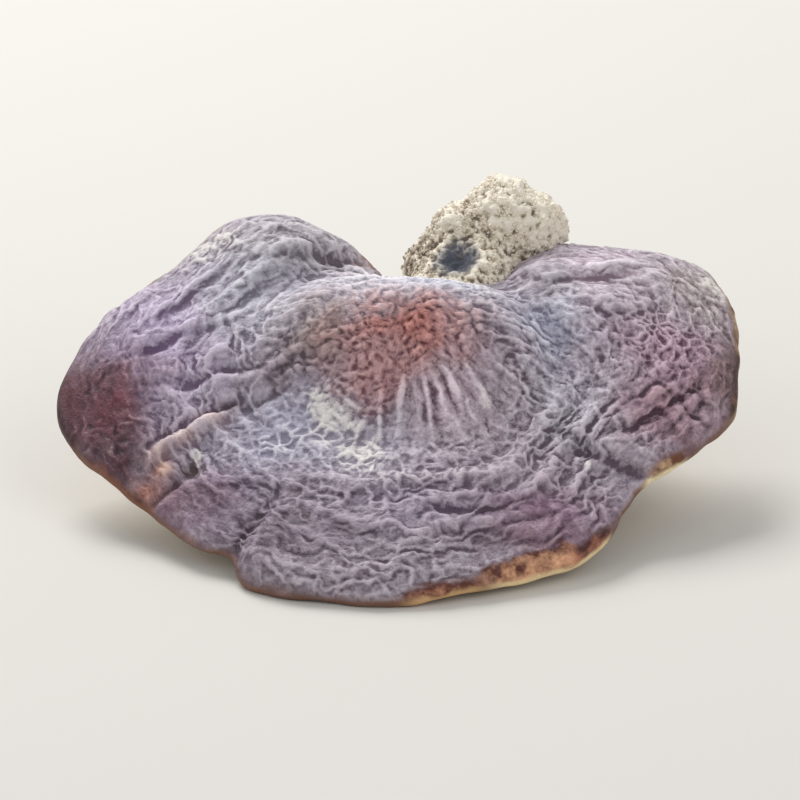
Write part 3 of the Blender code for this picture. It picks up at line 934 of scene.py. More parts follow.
@dataclass(frozen=True)
class CapForm:
    """Form of the cap without its fine wrinkles (mm).

    A rim row is x, y, lift of the rim and thickness of the rim, anticlockwise from the right. A growth
    zone is its share of the way from the growth centre to the rim, and the height of its ridge.
    """

    rim: Rows = (
        (70.4, 3, -3, 5.5), (70.3, 16.5, -1.5, 5.5), (66.5, 26.5, 0.5, 5.5), (56.5, 31.7, 2.5, 5.5),
        (44, 32.5, 3.5, 6), (31.5, 32.5, 5, 7), (25, 27, 5.5, 9), (18, 20, 5.5, 11), (8, 16.5, 5.5, 12),
        (-2.5, 18, 6, 11.5), (-8.5, 27.5, 7, 9.5), (-16.5, 34, 8, 7.5), (-26, 37.5, 9, 6.5),
        (-36.5, 36.5, 8, 5.5), (-43, 32.5, 6, 5.5), (-52.5, 24.3, 3, 5), (-62, 17, 0.5, 5),
        (-70.6, 5.5, -3, 5), (-73.2, -5, -6, 5), (-69, -15.5, -8, 5), (-59, -26.3, -9, 5),
        (-49.1, -37, -9, 5), (-41.7, -44.1, -8.5, 5), (-35.9, -46.5, -7.5, 5), (-33, -54, -7.8, 5.5),
        (-22.8, -59.3, -6, 5.5), (-4, -62.5, -4.8, 5.5), (14.3, -58, -5.2, 5.5), (29.3, -52.3, -7, 5.5),
        (39.8, -45, -7.2, 5.5), (45.2, -36.1, -6, 5.5), (51.1, -28, -4.8, 5), (56.1, -23.5, -4.2, 5),
        (62.8, -17.5, -4.5, 5), (68.6, -9.5, -4, 5.5),
    )
    swells: tuple[Swell, ...] = tuple(
        Swell(*row) for row in (
            (0, 4.5, 23, 10.5, 5.8), (-8, -22, 17, 8, -2.4), (-49, 4, 16, 16, 2.2), (51, 3, 16, 15, 2.2),
            (4, -43, 32, 10, 1.4), (-44.1, -25.8, 2.6, 2, -1.9), (-50.3, -25, 2.2, 1.7, 1.1),
            (38.3, -23, 2.6, 2.2, -1),
        )
    )
    folds: tuple[Fold, ...] = (
        Fold(3.6, 5, 0, ((-38, -2), (-30, 10), (-17, 19), (0, 32))),
        Fold(3.4, 5, 0, ((38, -14), (33, -2), (25, 10), (10, 30))),
        Fold(1.1, 1.2, 0.6, ((-21, -2), (-31, -6), (-39, -5), (-49, -8)), lip_reach=7),
        Fold(0.8, 1, 0, ((-23, -9), (-27.5, -12.4), (-31.7, -13.6), (-36, -16))),
        Fold(1.7, 0.8, 0, ((-32.5, -11.4), (-36, -12.6), (-39.5, -13.8), (-42, -14.2)), 0.3, 0.3),
        Fold(-2, 1.6, 0, ((-36.5, -13.9), (-44.7, -17.2), (-49.5, -20.2), (-55, -23.5)), 0.12, 0.2),
        Fold(1.2, 0.9, 0, ((-39, -12.9), (-45.6, -15), (-50.6, -17.9), (-56, -21)), 0.1, 0.3),
        Fold(1.3, 1.2, 0.5, ((-42, -24), (-47, -27.5), (-52, -31), (-58, -35)), lip_reach=6),
        Fold(2.2, 1.5, 1.2, ((-25, -31), (-29.5, -38.5), (-33.5, -45), (-38, -53)), lip_reach=6),
        Fold(1.5, 1.2, 1, ((31, -19), (38, -23.5), (46, -26), (60, -30)), lip_reach=7),
        Fold(1, 1.1, 0.4, ((40, -21.5), (47, -18), (54, -12), (64, -4)), lip_reach=6),
        Fold(0.9, 1.1, 0.8, ((20, 18.5), (30.6, 13.7), (39.4, 16.8), (54, 23.5)), lip_reach=7),
        Fold(1.4, 1.1, 0.9, ((-34, 19), (-25, 20.8), (-17, 23.5), (-8, 24.5)), lip_reach=7),
        Fold(0.8, 1, 0, ((-62, 1), (-56, 0.9), (-50, 2), (-45, 4))),
        Fold(0.8, 0.9, 0.3, ((-30, -9.5), (-27, -8), (-23, -6), (-18, -5))),
        Fold(0.7, 0.9, 0, ((51, -6), (56, -9.7), (60, -12.5), (65, -15))),
    )
    ridge: Fold = Fold(-0.6, 0.37, 0, (), 0.2, 0.5)
    groove: Fold = Fold(0.5, 1, 0.4, (), 0.25, 0.25, 5)
    ridges: tuple[Line, ...] = (  # the fan's strongest ridges
        ((-5.9, -14), (-9.7, -21.1), (-11.8, -28.2)), ((-4.9, -12), (-5.2, -20.4), (-5.4, -28.4)),
        ((-0.2, -11), (-1.1, -16.9), (-1.3, -22)), ((3.4, -10), (5.4, -20.8), (6.6, -29.6)),
        ((7.2, -8.5), (10.8, -15.6), (12.4, -22)), ((12, -8.5), (16.2, -14.1), (18.6, -18.5)),
        ((17, -7), (24.9, -11.8), (28.6, -16.2)), ((20, -4.9), (28.2, -6.7), (33.6, -9.3)),
        ((15, -2.3), (24.9, -3.7), (33.7, -3.4)),
    )
    grooves: tuple[Line, ...] = (  # long soft grooves of both lobes and of the front
        ((-61.1, 3.9), (-54.5, 6.5), (-47, 11), (-40.5, 17.1), (-34, 22.7)),
        ((-57.7, -0.9), (-49, 2.7), (-40.3, 3.4), (-32.7, 6.9)),
        ((-61.2, 7.9), (-55.9, 13.7), (-50.5, 18.9)), ((-24.1, 17.1), (-32.7, 11.4), (-39.2, 5.5)),
        ((-28.4, 19.8), (-36.1, 15.6), (-43.5, 9.2)),
        ((-57.6, -6.3), (-50, -6.3), (-41.2, -6.9), (-33.7, -4.9)),
        ((34.9, 8.6), (42.5, 6.8), (49.1, 8.7), (56.9, 13.2)), ((26.2, 9.8), (32.7, 4.3), (38, -0.6)),
        ((45.5, -14), (52.1, -7.7), (58.8, -2)), ((46.5, -18), (54.3, -10.5), (62, -4.7)),
        ((50.8, -21.3), (57.5, -14.2), (64.1, -7.9)), ((48.8, -9.9), (54.2, -14), (58.5, -18.2)),
        ((-23.6, -39.8), (-10.7, -48.4), (2.1, -50.7)),
        ((6.4, -49.6), (19.2, -45.2), (32.1, -40.1), (40.9, -30.8)),
        ((0, -42.5), (12.8, -42.7), (25.7, -37.3), (36.6, -28)),
        ((-32.2, -36.6), (-23.5, -47.2), (-14.9, -51.7)), ((-39.8, -30.8), (-30.1, -32.2), (-19.3, -37.7)),
    )
    zones: Rows = ((0.42, 0.3), (0.52, 0.7), (0.62, 1.0), (0.73, 1.0), (0.84, 1.2))
    zone_width: float = 0.034
    zone_waver: float = 0.10
    zone_waver_length: float = 24.0
    zone_patch_length: float = 20.0
    wave_height: float = 1.6
    wave_length: float = 19.0
    tilt: float = radians(21.0)
    growth_centre: tuple[float, float] = (-16.0, -27.0)
    spoke_centre: tuple[float, float] = (-2.0, -28.0)
    rim_band: float = 6.0
    rounding: float = 0.95
    core_thickness: float = 15.0
    core_depth: float = 17.0
    core_share_above: float = 0.62
    rim_share_above: float = 0.70
    stray: float = 0.7  # how far the folds' lines wander, over waves of 8 mm
    ripples: Rows = ((13.0, 0.7, 0.8), (5.5, 0.5, 0.45))  # length, sideways and upward wave near the rim
    ripple_reach: float = 8.0
    spokes: int = 640
    top_rings: int = 110
    turn_rings: int = 14
    under_rings: int = 36
    rim_steps: int = 16
    rim_samples: int = 600

    def rim_curve(self, count: int) -> Field:
        """Walks a smooth curve through the rim's rows.

        Args:
            count: Number of even steps round the rim.

        Returns:
            Rows of x, y, lift and thickness at each step.
        """
        knots = np.array(self.rim)
        before, after, second = np.roll(knots, 1, 0), np.roll(knots, -1, 0), np.roll(knots, -2, 0)
        t = np.linspace(0.0, 1.0, self.rim_steps, endpoint=False)[None, :, None]
        p0, p1, p2, p3 = (k[:, None, :] for k in (before, knots, after, second))
        bend = 2 * p0 - 5 * p1 + 4 * p2 - p3
        curve = 0.5 * (2 * p1 + (p2 - p0) * t + bend * t**2 + (3 * p1 - p0 - 3 * p2 + p3) * t**3)
        closed = np.vstack([curve.reshape(-1, 4), curve[0, :1]])
        length = np.concatenate([[0.0], np.cumsum(np.hypot(*np.diff(closed[:, :2], axis=0).T))])
        steps = np.linspace(0.0, length[-1], count, endpoint=False)
        return np.stack([np.interp(steps, length, column) for column in closed.T])

    def rim_fields(self, x: Field, y: Field) -> Field:
        """Says what the rim gives each place.

        Args:
            x: Places to the right, mm.
            y: Places to the back, mm.

        Returns:
            Rows of nearest distance, smooth distance, and the rim's lift and thickness near by.
        """
        rim_x, rim_y, lift, edge = self.rim_curve(self.rim_samples)[:, :, None]
        step = np.hypot(rim_x - np.roll(rim_x, 1), rim_y - np.roll(rim_y, 1))
        apart = np.hypot(x[None] - rim_x, y[None] - rim_y) + 0.05  # never 0, to divide by it
        pull = step / apart**4
        total = pull.sum(0)
        smooth = (0.5 * pi / total) ** (1 / 3)
        return np.stack([apart.min(0), smooth, (pull * lift).sum(0) / total, (pull * edge).sum(0) / total])

    def relief(self, x: Field, y: Field, rim_distance: Field) -> Field:
        """Height that hood, hollows, folds and growth zones add to the plain crust.

        Args:
            x: Places to the right, mm.
            y: Places to the back, mm.
            rim_distance: Smooth distance to the rim, mm.

        Returns:
            Height at each place, mm.
        """
        height = self.wave_height * waver(x, y, self.wave_length, 3.0)
        stray_x, stray_y = (self.stray * waver(x, y, 8.0, layer) for layer in (31.0, 37.0))
        ridges = (replace(self.ridge, line=line) for line in self.ridges)
        grooves = (replace(self.groove, line=line) for line in self.grooves)
        for form in (*self.swells, *self.folds, *ridges, *grooves):
            height += form.height(x + stray_x, y + stray_y)
        grown = np.hypot(x, y)
        stray = self.zone_waver * waver(x, y, self.zone_waver_length, 7.0)
        share = grown / (grown + rim_distance) + stray
        for zone, rise in self.zones:
            strength = 0.75 + 0.9 * waver(x, y, self.zone_patch_length, 11.0 + 9.0 * zone)
            height += rise * strength * np.exp(-(((share - zone) / self.zone_width) ** 2))
        return height

    def surface(self, x: Field, y: Field, side: Side) -> Field:
        """Height of the cap's skin over a place.

        Args:
            x: Places to the right, mm.
            y: Places to the back, mm.
            side: Which face of the sheet.

        Returns:
            Height at each place, mm.
        """
        distance, smooth, lift, edge = self.rim_fields(x, y)
        deep = 1 - np.exp(-((smooth / self.core_depth) ** 1.5))
        flesh = edge + (self.core_thickness - edge) * deep
        above = self.rim_share_above + (self.core_share_above - self.rim_share_above) * deep
        height = flesh * above + self.relief(x, y, smooth) if side is Side.CRUST else flesh * (1 - above)
        rounded = np.sqrt(1 - (1 - np.clip(distance / (self.rounding * edge), 0.0, 1.0)) ** 2)
        return lift + side.value * height * rounded

    def rings(self) -> Field:
        """Points of the cap in rings, from the middle of the crust over the rim to the middle below."""
        rim = self.rim_curve(self.spokes)[:2].T
        along = np.roll(rim, -1, axis=0) - np.roll(rim, 1, axis=0)
        inward = np.stack([-along[:, 1], along[:, 0]], axis=1) / np.hypot(*along.T)[:, None]
        middle = np.array(self.spoke_centre)
        sheet = rim + inward * self.rim_band - middle
        flat = [(middle + sheet * k / self.top_rings, Side.CRUST) for k in range(self.top_rings)]
        for k in range(self.turn_rings + 1):
            turned = rim + inward * self.rim_band * (1 - sin(pi * k / self.turn_rings))
            flat.append((turned, Side(int(np.sign(self.turn_rings - 2 * k)))))
        for k in range(self.under_rings - 1, -1, -1):
            flat.append((middle + sheet * k / self.under_rings, Side.PORES))
        return np.array([np.column_stack([ring, self.surface(*ring.T, side)]) for ring, side in flat])

    def rippled(self, points: Field) -> Field:
        """Makes the rim wavy.

        Args:
            points: Rings of points of the cap, mm.

        Returns:
            The points, moved sideways and up or down near the rim.
        """
        x, y = points[..., 0], points[..., 1]
        near = np.stack([np.exp(-self.rim_fields(*ring.T[:2])[0] / self.ripple_reach) for ring in points])
        moved = points.copy()
        for length, aside, upward in self.ripples:
            for axis, size in enumerate((aside, aside, upward)):
                moved[..., axis] += size * near * waver(x, y, length, 41.0 + 7.0 * axis + length)
        return moved

    def place(self, points: Field) -> Matrix:
        """Turns the cap's own frame and stands it on the floor.

        Args:
            points: Rings of points of the cap, mm.

        Returns:
            Where the cap's own frame stands, in metres.
        """
        turned = Matrix.Rotation(self.tilt, 4, "X")
        lowest = (points @ np.array(turned.to_3x3()).T)[..., 2].min()
        x, y = self.growth_centre
        return Matrix.Translation((x * MM, y * MM, -lowest * MM)) @ turned

    def closed_mesh(self, points: Field) -> bpy.types.Mesh:
        """Lays the rings of a sphere over the cap's rings, in the cap's own frame.

        Args:
            points: Rings of points of the cap, mm.

        Returns:
            One closed mesh in metres.
        """
        steps = len(points) - 1
        shell = bmesh.new()
        bmesh.ops.create_uvsphere(shell, u_segments=self.spokes, v_segments=steps, radius=1.0)
        for vertex in shell.verts:
            ring = round(np.arccos(np.clip(vertex.co.z, -1.0, 1.0)) / pi * steps)
            spoke = round(np.arctan2(vertex.co.y, vertex.co.x) / (2 * pi) * self.spokes) % self.spokes
            vertex.co = points[ring][spoke] * MM
        return as_mesh(shell, "drawn_cap")


@dataclass(frozen=True)
class Cap:
    """The cap: its form, its wrinkles and its two finishes."""

    form: CapForm = CapForm()
    crust: CrustFinish = CrustFinish()
    pores: PoreFinish = PoreFinish()
    voxel: float = 0.38  # mm, spacing of the mesh on the crust
    triangles: int = 194000
    softening: int = 3
    chunk: int = 4000  # places that are worked out at a time
    strays: Rows = ((9.0, 1.3), (3.5, 0.5), (1.7, 0.22))  # waves and shift of the wrinkles' places, mm
    stretch: tuple[float, float, float] = (1.0, 1.0, 1.6)  # strays are longer on the way out
    underside: float = 2.0  # mm below the middle of the rim
    seed_step: float = 5.3
    low_rim: float = 3.0  # mm from the rim, where the wrinkles get lower
    upper: tuple[float, float] = (-0.05, 0.3)  # turn of the rim where wrinkles start and are full
    first_pores: float = -0.22  # turn of the rim
    hollows: tuple[tuple[str, int], ...] = (("hollow", 14), ("valley", 110))  # rounds of smoothing
    yielding: float = 0.15  # share of the wrinkles found everywhere that stays under those of a patch
    quiet: tuple[Patch, ...] = patches(
        (-71, -3, 6, 13, 0.85), (-60, -25, 9, 5, 0.75), (-55, -30, 8, 4.5, 0.7), (30, -51, 16, 4, 0.6),
        (32, 4, 5, 6, 0.3), (-34, -7.5, 9, 4.5, 0.55), (-41.5, -15.7, 4.5, 2.4, 0.8),
        (-49, -20, 4.5, 2.4, 0.8), (-1, 9, 20, 6, 0.3), (23, -33.5, 10, 4.5, 0.5),
    )
    wrinkles: tuple[Wrinkles, ...] = (
        Wrinkles("broad folds", Run.RIM, Crest.GROOVE, 0.5, 8, 26, shares=(0.45, 1.1)),
        Wrinkles("net", Run.RIM, Crest.NET, 0.36, 2.6, 5.4, shares=(0.47, 1.1), crease=0.17),
        Wrinkles("lines", Run.RIM, Crest.RIDGE, 0.46, 2.5, 18, shares=(0.5, 1.1)),
        Wrinkles("creases", Run.RIM, Crest.GROOVE, 0.3, 3.2, 11, shares=(0.45, 1.1)),
        Wrinkles("hood skin", Run.SLANT, Crest.NET, 0.22, 1.7, 2, shares=(-0.2, 0.42)),
        Wrinkles("hood grain", Run.SLANT, Crest.GROOVE, 0.46, 2.8, 3.2, shares=(-0.2, 0.52)),
        Wrinkles("centre fan", Run.SPOKE, Crest.RIDGE, 0.8, 7, 60,
                 patches((10, -17, 17, 10, 1.3)), focus=(-1, 9), reach=30, gain=6),
        Wrinkles("centre net", Run.SLANT, Crest.NET, 0.38, 2.8, 3.8,
                 patches((-25, -22, 12, 8, 1.2), (-9, -29, 9, 5)), crease=0.19),
        Wrinkles("right net", Run.SLANT, Crest.NET, 0.33, 2.5, 3.2,
                 patches((54, 4, 12, 9, 1.1)), crease=0.18),
        Wrinkles("front lines", Run.RIM, Crest.RIDGE, 0.7, 2.5, 22,
                 patches((22, -45, 24, 7, 1.1), (-18, -50, 14, 6))),
        Wrinkles("left flow", Run.SLANT, Crest.GROOVE, 0.6, 3, 18,
                 patches((-33, 15, 13, 12, 1.1)), slant=41),
        Wrinkles("left side flow", Run.SLANT, Crest.GROOVE, 0.55, 3, 16,
                 patches((-51, 4, 12, 7, 1.1)), slant=9),
        Wrinkles("left low flow", Run.SLANT, Crest.GROOVE, 0.45, 2.6, 14,
                 patches((-55, -9, 11, 6, 1.1)), slant=-24),
        Wrinkles("right flow", Run.SLANT, Crest.GROOVE, 0.6, 2.6, 11,
                 patches((32, 0, 9, 10, 1.1)), slant=-38),
        Wrinkles("right shelves", Run.SLANT, Crest.GROOVE, 0.52, 3, 15,
                 patches((42, 19, 19, 8, 1.1)), slant=14),
        Wrinkles("rear crumple", Run.SLANT, Crest.GROOVE, 0.5, 2.6, 5.5,
                 patches((-43, 26, 8, 6, 1.1), (64, 20, 7, 8))),
        Wrinkles("hatch up", Run.SLANT, Crest.RIDGE, 0.54, 2.8, 16,
                 patches((56, -11, 12, 9, 1.2)), slant=42),
        Wrinkles("hatch down", Run.SLANT, Crest.RIDGE, 0.45, 3.2, 13,
                 patches((57, -10, 9, 7, 1.1)), slant=-34),
        Wrinkles("star", Run.SPOKE, Crest.GROOVE, 0.26, 26, 60,
                 patches((35, -10, 9, 6, 1.1)), focus=(35, -10)),
        Wrinkles("curl rays", Run.SPOKE, Crest.GROOVE, 0.6, 24, 60,
                 patches((47, -26, 8, 6, 1.1)), focus=(54, -25)),
        Wrinkles("left rings", Run.RIM, Crest.RIDGE, 0.45, 2.2, 24, patches((-42, -35, 11, 8, 1.1))),
    )

    def fields(self, x: Field, y: Field) -> Field:
        """Rim fields of many places, a few thousand at a time."""
        starts = range(0, len(x), self.chunk)
        return np.hstack([self.form.rim_fields(x[k : k + self.chunk], y[k : k + self.chunk]) for k in starts])

    def even_mesh(self, points: Field) -> bpy.types.Mesh:
        """Remeshes the drawn cap evenly and thins its underside, which is smooth.

        Args:
            points: Rings of points of the cap, mm.

        Returns:
            One closed mesh in metres, in the cap's own frame.
        """
        drawn = self.form.closed_mesh(points)
        fine = new_object("fine_cap", evened(drawn, "fine_cap", self.voxel, self.softening))
        x, y, z = vertex_places(fine.data).T / MM
        lift = self.fields(x, y)[2]
        below = [int(k) for k in np.flatnonzero(z < lift - self.underside)]
        fine.vertex_groups.new(name="underside").add(below, 1.0, "REPLACE")
        self.thin(fine).vertex_group = "underside"
        return baked(fine, "cap")

    def thin(self, thing: bpy.types.Object) -> bpy.types.DecimateModifier:
        """Thins an object towards the cap's set number of triangles."""
        thing.data.calc_loop_triangles()
        count = len(thing.data.loop_triangles)
        LOG.info("%s before thinning: %d triangles", thing.name, count)
        thinned = thing.modifiers.new("thin", "DECIMATE")
        thinned.ratio = min(1.0, self.triangles / count)
        return thinned

    def mark(self, mesh: bpy.types.Mesh) -> None:
        """Stores what the wrinkles and the finishes read at each vertex."""
        x, y, z = vertex_places(mesh).T / MM
        distance, smooth, lift, edge = self.fields(x, y)
        grown = np.hypot(x, y) + 1e-6
        out = 0.5 * (grown - smooth) / RING_REACH
        store(mesh, "cap_mm", np.stack([x, y, z], axis=1))
        store(mesh, "ring", np.stack([x / grown, y / grown, out], axis=1))
        store(mesh, "share", grown / (grown + smooth))
        store(mesh, "rim_mm", distance)
        store(mesh, "turn", np.clip((z - lift) / edge, -1.0, 1.0))

    def wrinkle_tree(self) -> Tree:
        """Geometry Nodes that raise the wrinkles and measure hollows for the finishes."""
        tree, given = new_tree("cap_wrinkles", Relief="Float", Crust="Material", Pores="Material")
        add = partial(add_node, tree)
        stored = "GeometryNodeInputNamedAttribute "
        ring, place = (add(stored + "FLOAT_VECTOR", (name,)) for name in ("ring", "cap_mm"))
        share, rim, turn = (add(stored + "FLOAT", (name,)) for name in ("share", "rim_mm", "turn"))
        strayed_place = strayed(tree, place, self.strays)
        shift = add("VectorMath SUBTRACT", (strayed_place, place))
        shift = add("VectorMath SCALE", (shift, 1 / RING_REACH))
        shift = add("VectorMath MULTIPLY", (shift, self.stretch))
        strayed_ring = add("VectorMath ADD", (ring, shift))
        everywhere, local = 0.0, 0.0
        for seed, family in enumerate(self.wrinkles):
            relief = family.relief(tree, strayed_ring, share, strayed_place, seed * self.seed_step)
            if family.patches:
                local = add("Math ADD", (local, relief))
            else:
                everywhere = add("Math ADD", (everywhere, relief))
        spots = tuple(patch for family in self.wrinkles for patch in family.patches)
        own = strongest(tree, spots, strayed_place)
        left = add("MapRange", (own, None, None, 1.0, self.yielding))
        total = add("Math MULTIPLY_ADD", (everywhere, left, local))
        still = add("Math SUBTRACT", (1.0, strongest(tree, self.quiet, place)), use_clamp=True)
        fading = add("MapRange", (rim, None, self.low_rim, 0.5))
        upper = add("MapRange", (turn, *self.upper))
        for share_left in (still, fading, upper, given["Relief"]):
            total = add("Math MULTIPLY", (total, share_left))
        mesh = raised(tree, given["Geometry"], total)
        for name, rounds in self.hollows:
            mesh = hollowed(tree, mesh, name, rounds)
        mesh = dressed(tree, mesh, given["Crust"])
        below = add("FunctionNodeCompare", (turn, self.first_pores), operation="LESS_THAN", data_type="FLOAT")
        last = {"Geometry": mesh, "Selection": below, "Material": given["Pores"]}
        mesh = add("GeometryNodeSetMaterial", last)
        add("NodeGroupOutput", (mesh,))
        return tree

    def build(self) -> list[bpy.types.Object]:
        """Builds and dresses the cap.

        Returns:
            The cap as one closed mesh.
        """
        points = self.form.rings()
        placed = self.form.place(points)
        mesh = self.even_mesh(self.form.rippled(points))
        self.mark(mesh)
        values = {"Relief": 1.0, "Crust": self.crust.material(placed), "Pores": self.pores.material()}
        cap = new_object("cap_body", grown(mesh, self.wrinkle_tree(), values, "wrinkled_cap"))
        self.thin(cap)
        mesh = baked(cap, "cap_body")
        mesh.transform(placed)
        places = vertex_places(mesh)
        places[:, 2] = np.maximum(places[:, 2], 0.0)
        mesh.vertices.foreach_set("co", places.astype(np.float32).ravel())
        mesh.shade_smooth()
        cap = new_object("cap_body", mesh)
        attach(cap, "root")
        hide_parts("cap")
        return [cap]


@dataclass(frozen=True)
class Stem:
    """The stem: a bent trunk with a lumpy knee and foot (mm)."""

    line: Rows = (
        (0, 0, -4, 14), (0.2, 0.6, 6, 12.5), (1, 2, 20, 10.5), (1.8, 1.6, 32, 10.5), (1, -2, 41.5, 10.5),
        (-4, -9, 40.5, 10), (-10, -18, 34.5, 9.5),
    )
    lumps: Rows = (
        (5, 1, 52, 8.5), (-4, -1, 48, 7.2), (10.5, 1, 49.5, 7.7), (-7.5, -2, 41, 8.5), (10, 1.5, 42, 8),
        (-1, -2, 43, 9.5), (8, 6.5, 40, 8.5), (-4, 7.5, 41, 8), (4, 8.5, 47, 7.5), (6.5, -0.5, 31, 8.5),
        (-6, 2.5, 30, 7.5), (5, 4, 9, 9.5), (-5, 3, 6, 9.5), (-2, -5.5, 4, 9.5),
    )
    finish: MyceliumFinish = MyceliumFinish()
    voxel: float = 0.45
    blending: int = 90  # rounds of smoothing that melt trunk and lumps into one
    knobs: Rows = ((9.0, 2.2), (4.0, 2.0), (2.0, 1.6), (1.1, 0.8))  # length and height of the knee's knobs
    crumb_size: tuple[float, float] = (0.13, 0.42)  # radius of the loose crumbs
    crumb_count: float = 2.6  # crumbs on a square millimetre of the knee
    crumb_lumps: tuple[float, float] = (1.3, 1.9)  # waves and height of a crumb's lumps, of its radius
    clusters: float = 3.5  # groups of crumbs
    clear: tuple[float, float] = (0.4, 2.4)  # from the pit's edge: no crumbs, and as many as elsewhere
    bark_grain: tuple[float, float, float] = (0.33, 0.33, 0.07)  # ribs on a millimetre
    bark_height: float = 2.2
    pit_depth: float = 2.6
    cap_overlap: float = 0.6  # how far the stem's skin runs on into the cap
    sliver: float = 0.002  # points nearer to each other than this are one

    def trunk(self) -> bpy.types.Mesh:
        """Sweeps the trunk along its line, with its ends closed."""
        curve = bpy.data.curves.new("trunk", "CURVE")
        curve.dimensions = "3D"
        curve.bevel_depth = MM
        curve.bevel_resolution = 8
        curve.use_fill_caps = True
        curve.resolution_u = 12
        spline = curve.splines.new("NURBS")
        spline.points.add(len(self.line) - 1)
        for point, (x, y, z, radius) in zip(spline.points, self.line):
            point.co = (x * MM, y * MM, z * MM, 1.0)
            point.radius = radius
        spline.use_endpoint_u = True
        spline.order_u = 4
        return baked(new_object("trunk", curve), "trunk")

    def fused(self) -> bpy.types.Mesh:
        """Fuses trunk and lumps into one even mesh."""
        body = bmesh.new()
        body.from_mesh(self.trunk())
        bmesh.ops.remove_doubles(body, verts=body.verts, dist=JOIN)
        for x, y, z, radius in self.lumps:
            ball = bmesh.ops.create_icosphere(body, subdivisions=4, radius=radius * MM)
            bmesh.ops.translate(body, verts=ball["verts"], vec=(x * MM, y * MM, z * MM))
        return evened(as_mesh(body, "stem"), "stem", self.voxel, self.blending)

    def skin_tree(self) -> Tree:
        """Geometry Nodes that crumble the knee, wrinkle the bark and press in the pit."""
        kinds = {"Crumb height": "Float", "Bark height": "Float", "Pit depth": "Float", "Skin": "Material"}
        tree, given = new_tree("stem_skin", **kinds)
        add = partial(add_node, tree)
        here = add("GeometryNodeInputPosition")
        place = add("VectorMath SCALE", (here, 1 / MM))
        knee = self.finish.felted(tree, place)
        crumbs = 0.0
        for length, height in self.knobs:
            grain = add("Math ADD", (add("TexNoise", (place, 1 / length, 2.0)), -0.5))
            crumbs = add("Math MULTIPLY_ADD", (grain, height, crumbs))
        crumbs = add("Math MULTIPLY", (crumbs, knee))
        crumbs = add("Math MULTIPLY", (crumbs, given["Crumb height"]))
        stretched = add("VectorMath MULTIPLY", (place, self.bark_grain))
        bark = add("TexNoise", (stretched, 1.0, 3.0))
        bark = add("Math ABSOLUTE", (add("Math ADD", (bark, -0.5)),))
        bark = add("Math MULTIPLY", (bark, given["Bark height"]))
        away = add("VectorMath DISTANCE", (place, self.finish.pit_place))
        near = add("MapRange SMOOTHSTEP", (away, self.finish.pit_radius, 1.0))
        pressed = add("Math MULTIPLY", (near, given["Pit depth"]))
        total = add("Math SUBTRACT", (add("Math ADD", (crumbs, bark)), pressed))
        mesh = hollowed(tree, raised(tree, given["Geometry"], total), "hollow", 14)
        mesh = dressed(tree, mesh, given["Skin"])
        add("NodeGroupOutput", (mesh,))
        return tree

    def crumb_tree(self) -> Tree:
        """Geometry Nodes that strew crumbs of dried mycelium over the knee."""
        tree, given = new_tree("stem_crumbs", Count="Float", Skin="Material")
        add = partial(add_node, tree)
        here = add("GeometryNodeInputPosition")
        place = add("VectorMath SCALE", (here, 1 / MM))
        knee = self.finish.felted(tree, place)
        clusters = add("TexNoise", (place, 1 / self.clusters, 2.0))
        clusters = add("MapRange", (clusters, 0.35, 0.65))
        away = add("VectorMath DISTANCE", (place, self.finish.pit_place))
        clear = add("MapRange", (away, *(self.finish.pit_radius + gap for gap in self.clear)))
        density = knee
        for share in (clusters, clear, given["Count"]):
            density = add("Math MULTIPLY", (density, share))
        spread = {"Mesh": given["Geometry"], "Density": density, "Seed": 5}
        spots = add("GeometryNodeDistributePointsOnFaces", spread).node
        crumb = add("GeometryNodeMeshIcoSphere", (MM, 1))
        waves, lump = self.crumb_lumps
        lumpy = add("TexNoise", (here, 1 / (waves * MM), 1.0), "Color")
        lumpy = add("VectorMath SUBTRACT", (lumpy, (0.5, 0.5, 0.5)))
        lumpy = add("VectorMath SCALE", (lumpy, lump * MM))
        crumb = add("GeometryNodeSetPosition", {"Geometry": crumb, "Offset": lumpy})
        turn = add("FunctionNodeRandomValue FLOAT_VECTOR", (None, (6.3, 6.3, 6.3), None, 3))
        low, high = self.crumb_size
        size = add("FunctionNodeRandomValue FLOAT", (low, high, None, 4))
        tone = add("FunctionNodeRandomValue FLOAT", (0.0, 1.0, None, 6))
        strewn = {"Points": spots.outputs["Points"], "Instance": crumb, "Rotation": turn, "Scale": size}
        crumbs = add("GeometryNodeInstanceOnPoints", strewn)
        toned = {"Geometry": crumbs, "Name": "tone", "Value": tone}
        crumbs = add("GeometryNodeStoreNamedAttribute FLOAT", toned, domain="INSTANCE")
        crumbs = dressed(tree, crumbs, given["Skin"])
        add("NodeGroupOutput", (crumbs,))
        return tree

    def cut_to_cap(self, mesh: bpy.types.Mesh) -> bpy.types.Mesh:
        """Cuts the stem back to a little inside the cap's skin."""
        cutter_shape = bmesh.new()
        cutter_shape.from_mesh(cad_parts["cap"].data)
        bmesh.ops.remove_doubles(cutter_shape, verts=cutter_shape.verts, dist=JOIN)
        cutter = new_object("cap_cutter", as_mesh(cutter_shape, "cap_cutter"))
        shrink = cutter.modifiers.new("shrink", "DISPLACE")
        shrink.strength = -self.cap_overlap * MM
        shrink.mid_level = 0.0
        stem = new_object("stem_cut", mesh)
        cut = stem.modifiers.new("cut", "BOOLEAN")
        cut.operation = "DIFFERENCE"
        cut.object = cutter
        result = baked(stem, "stem_body")
        bpy.data.objects.remove(cutter)
        return result

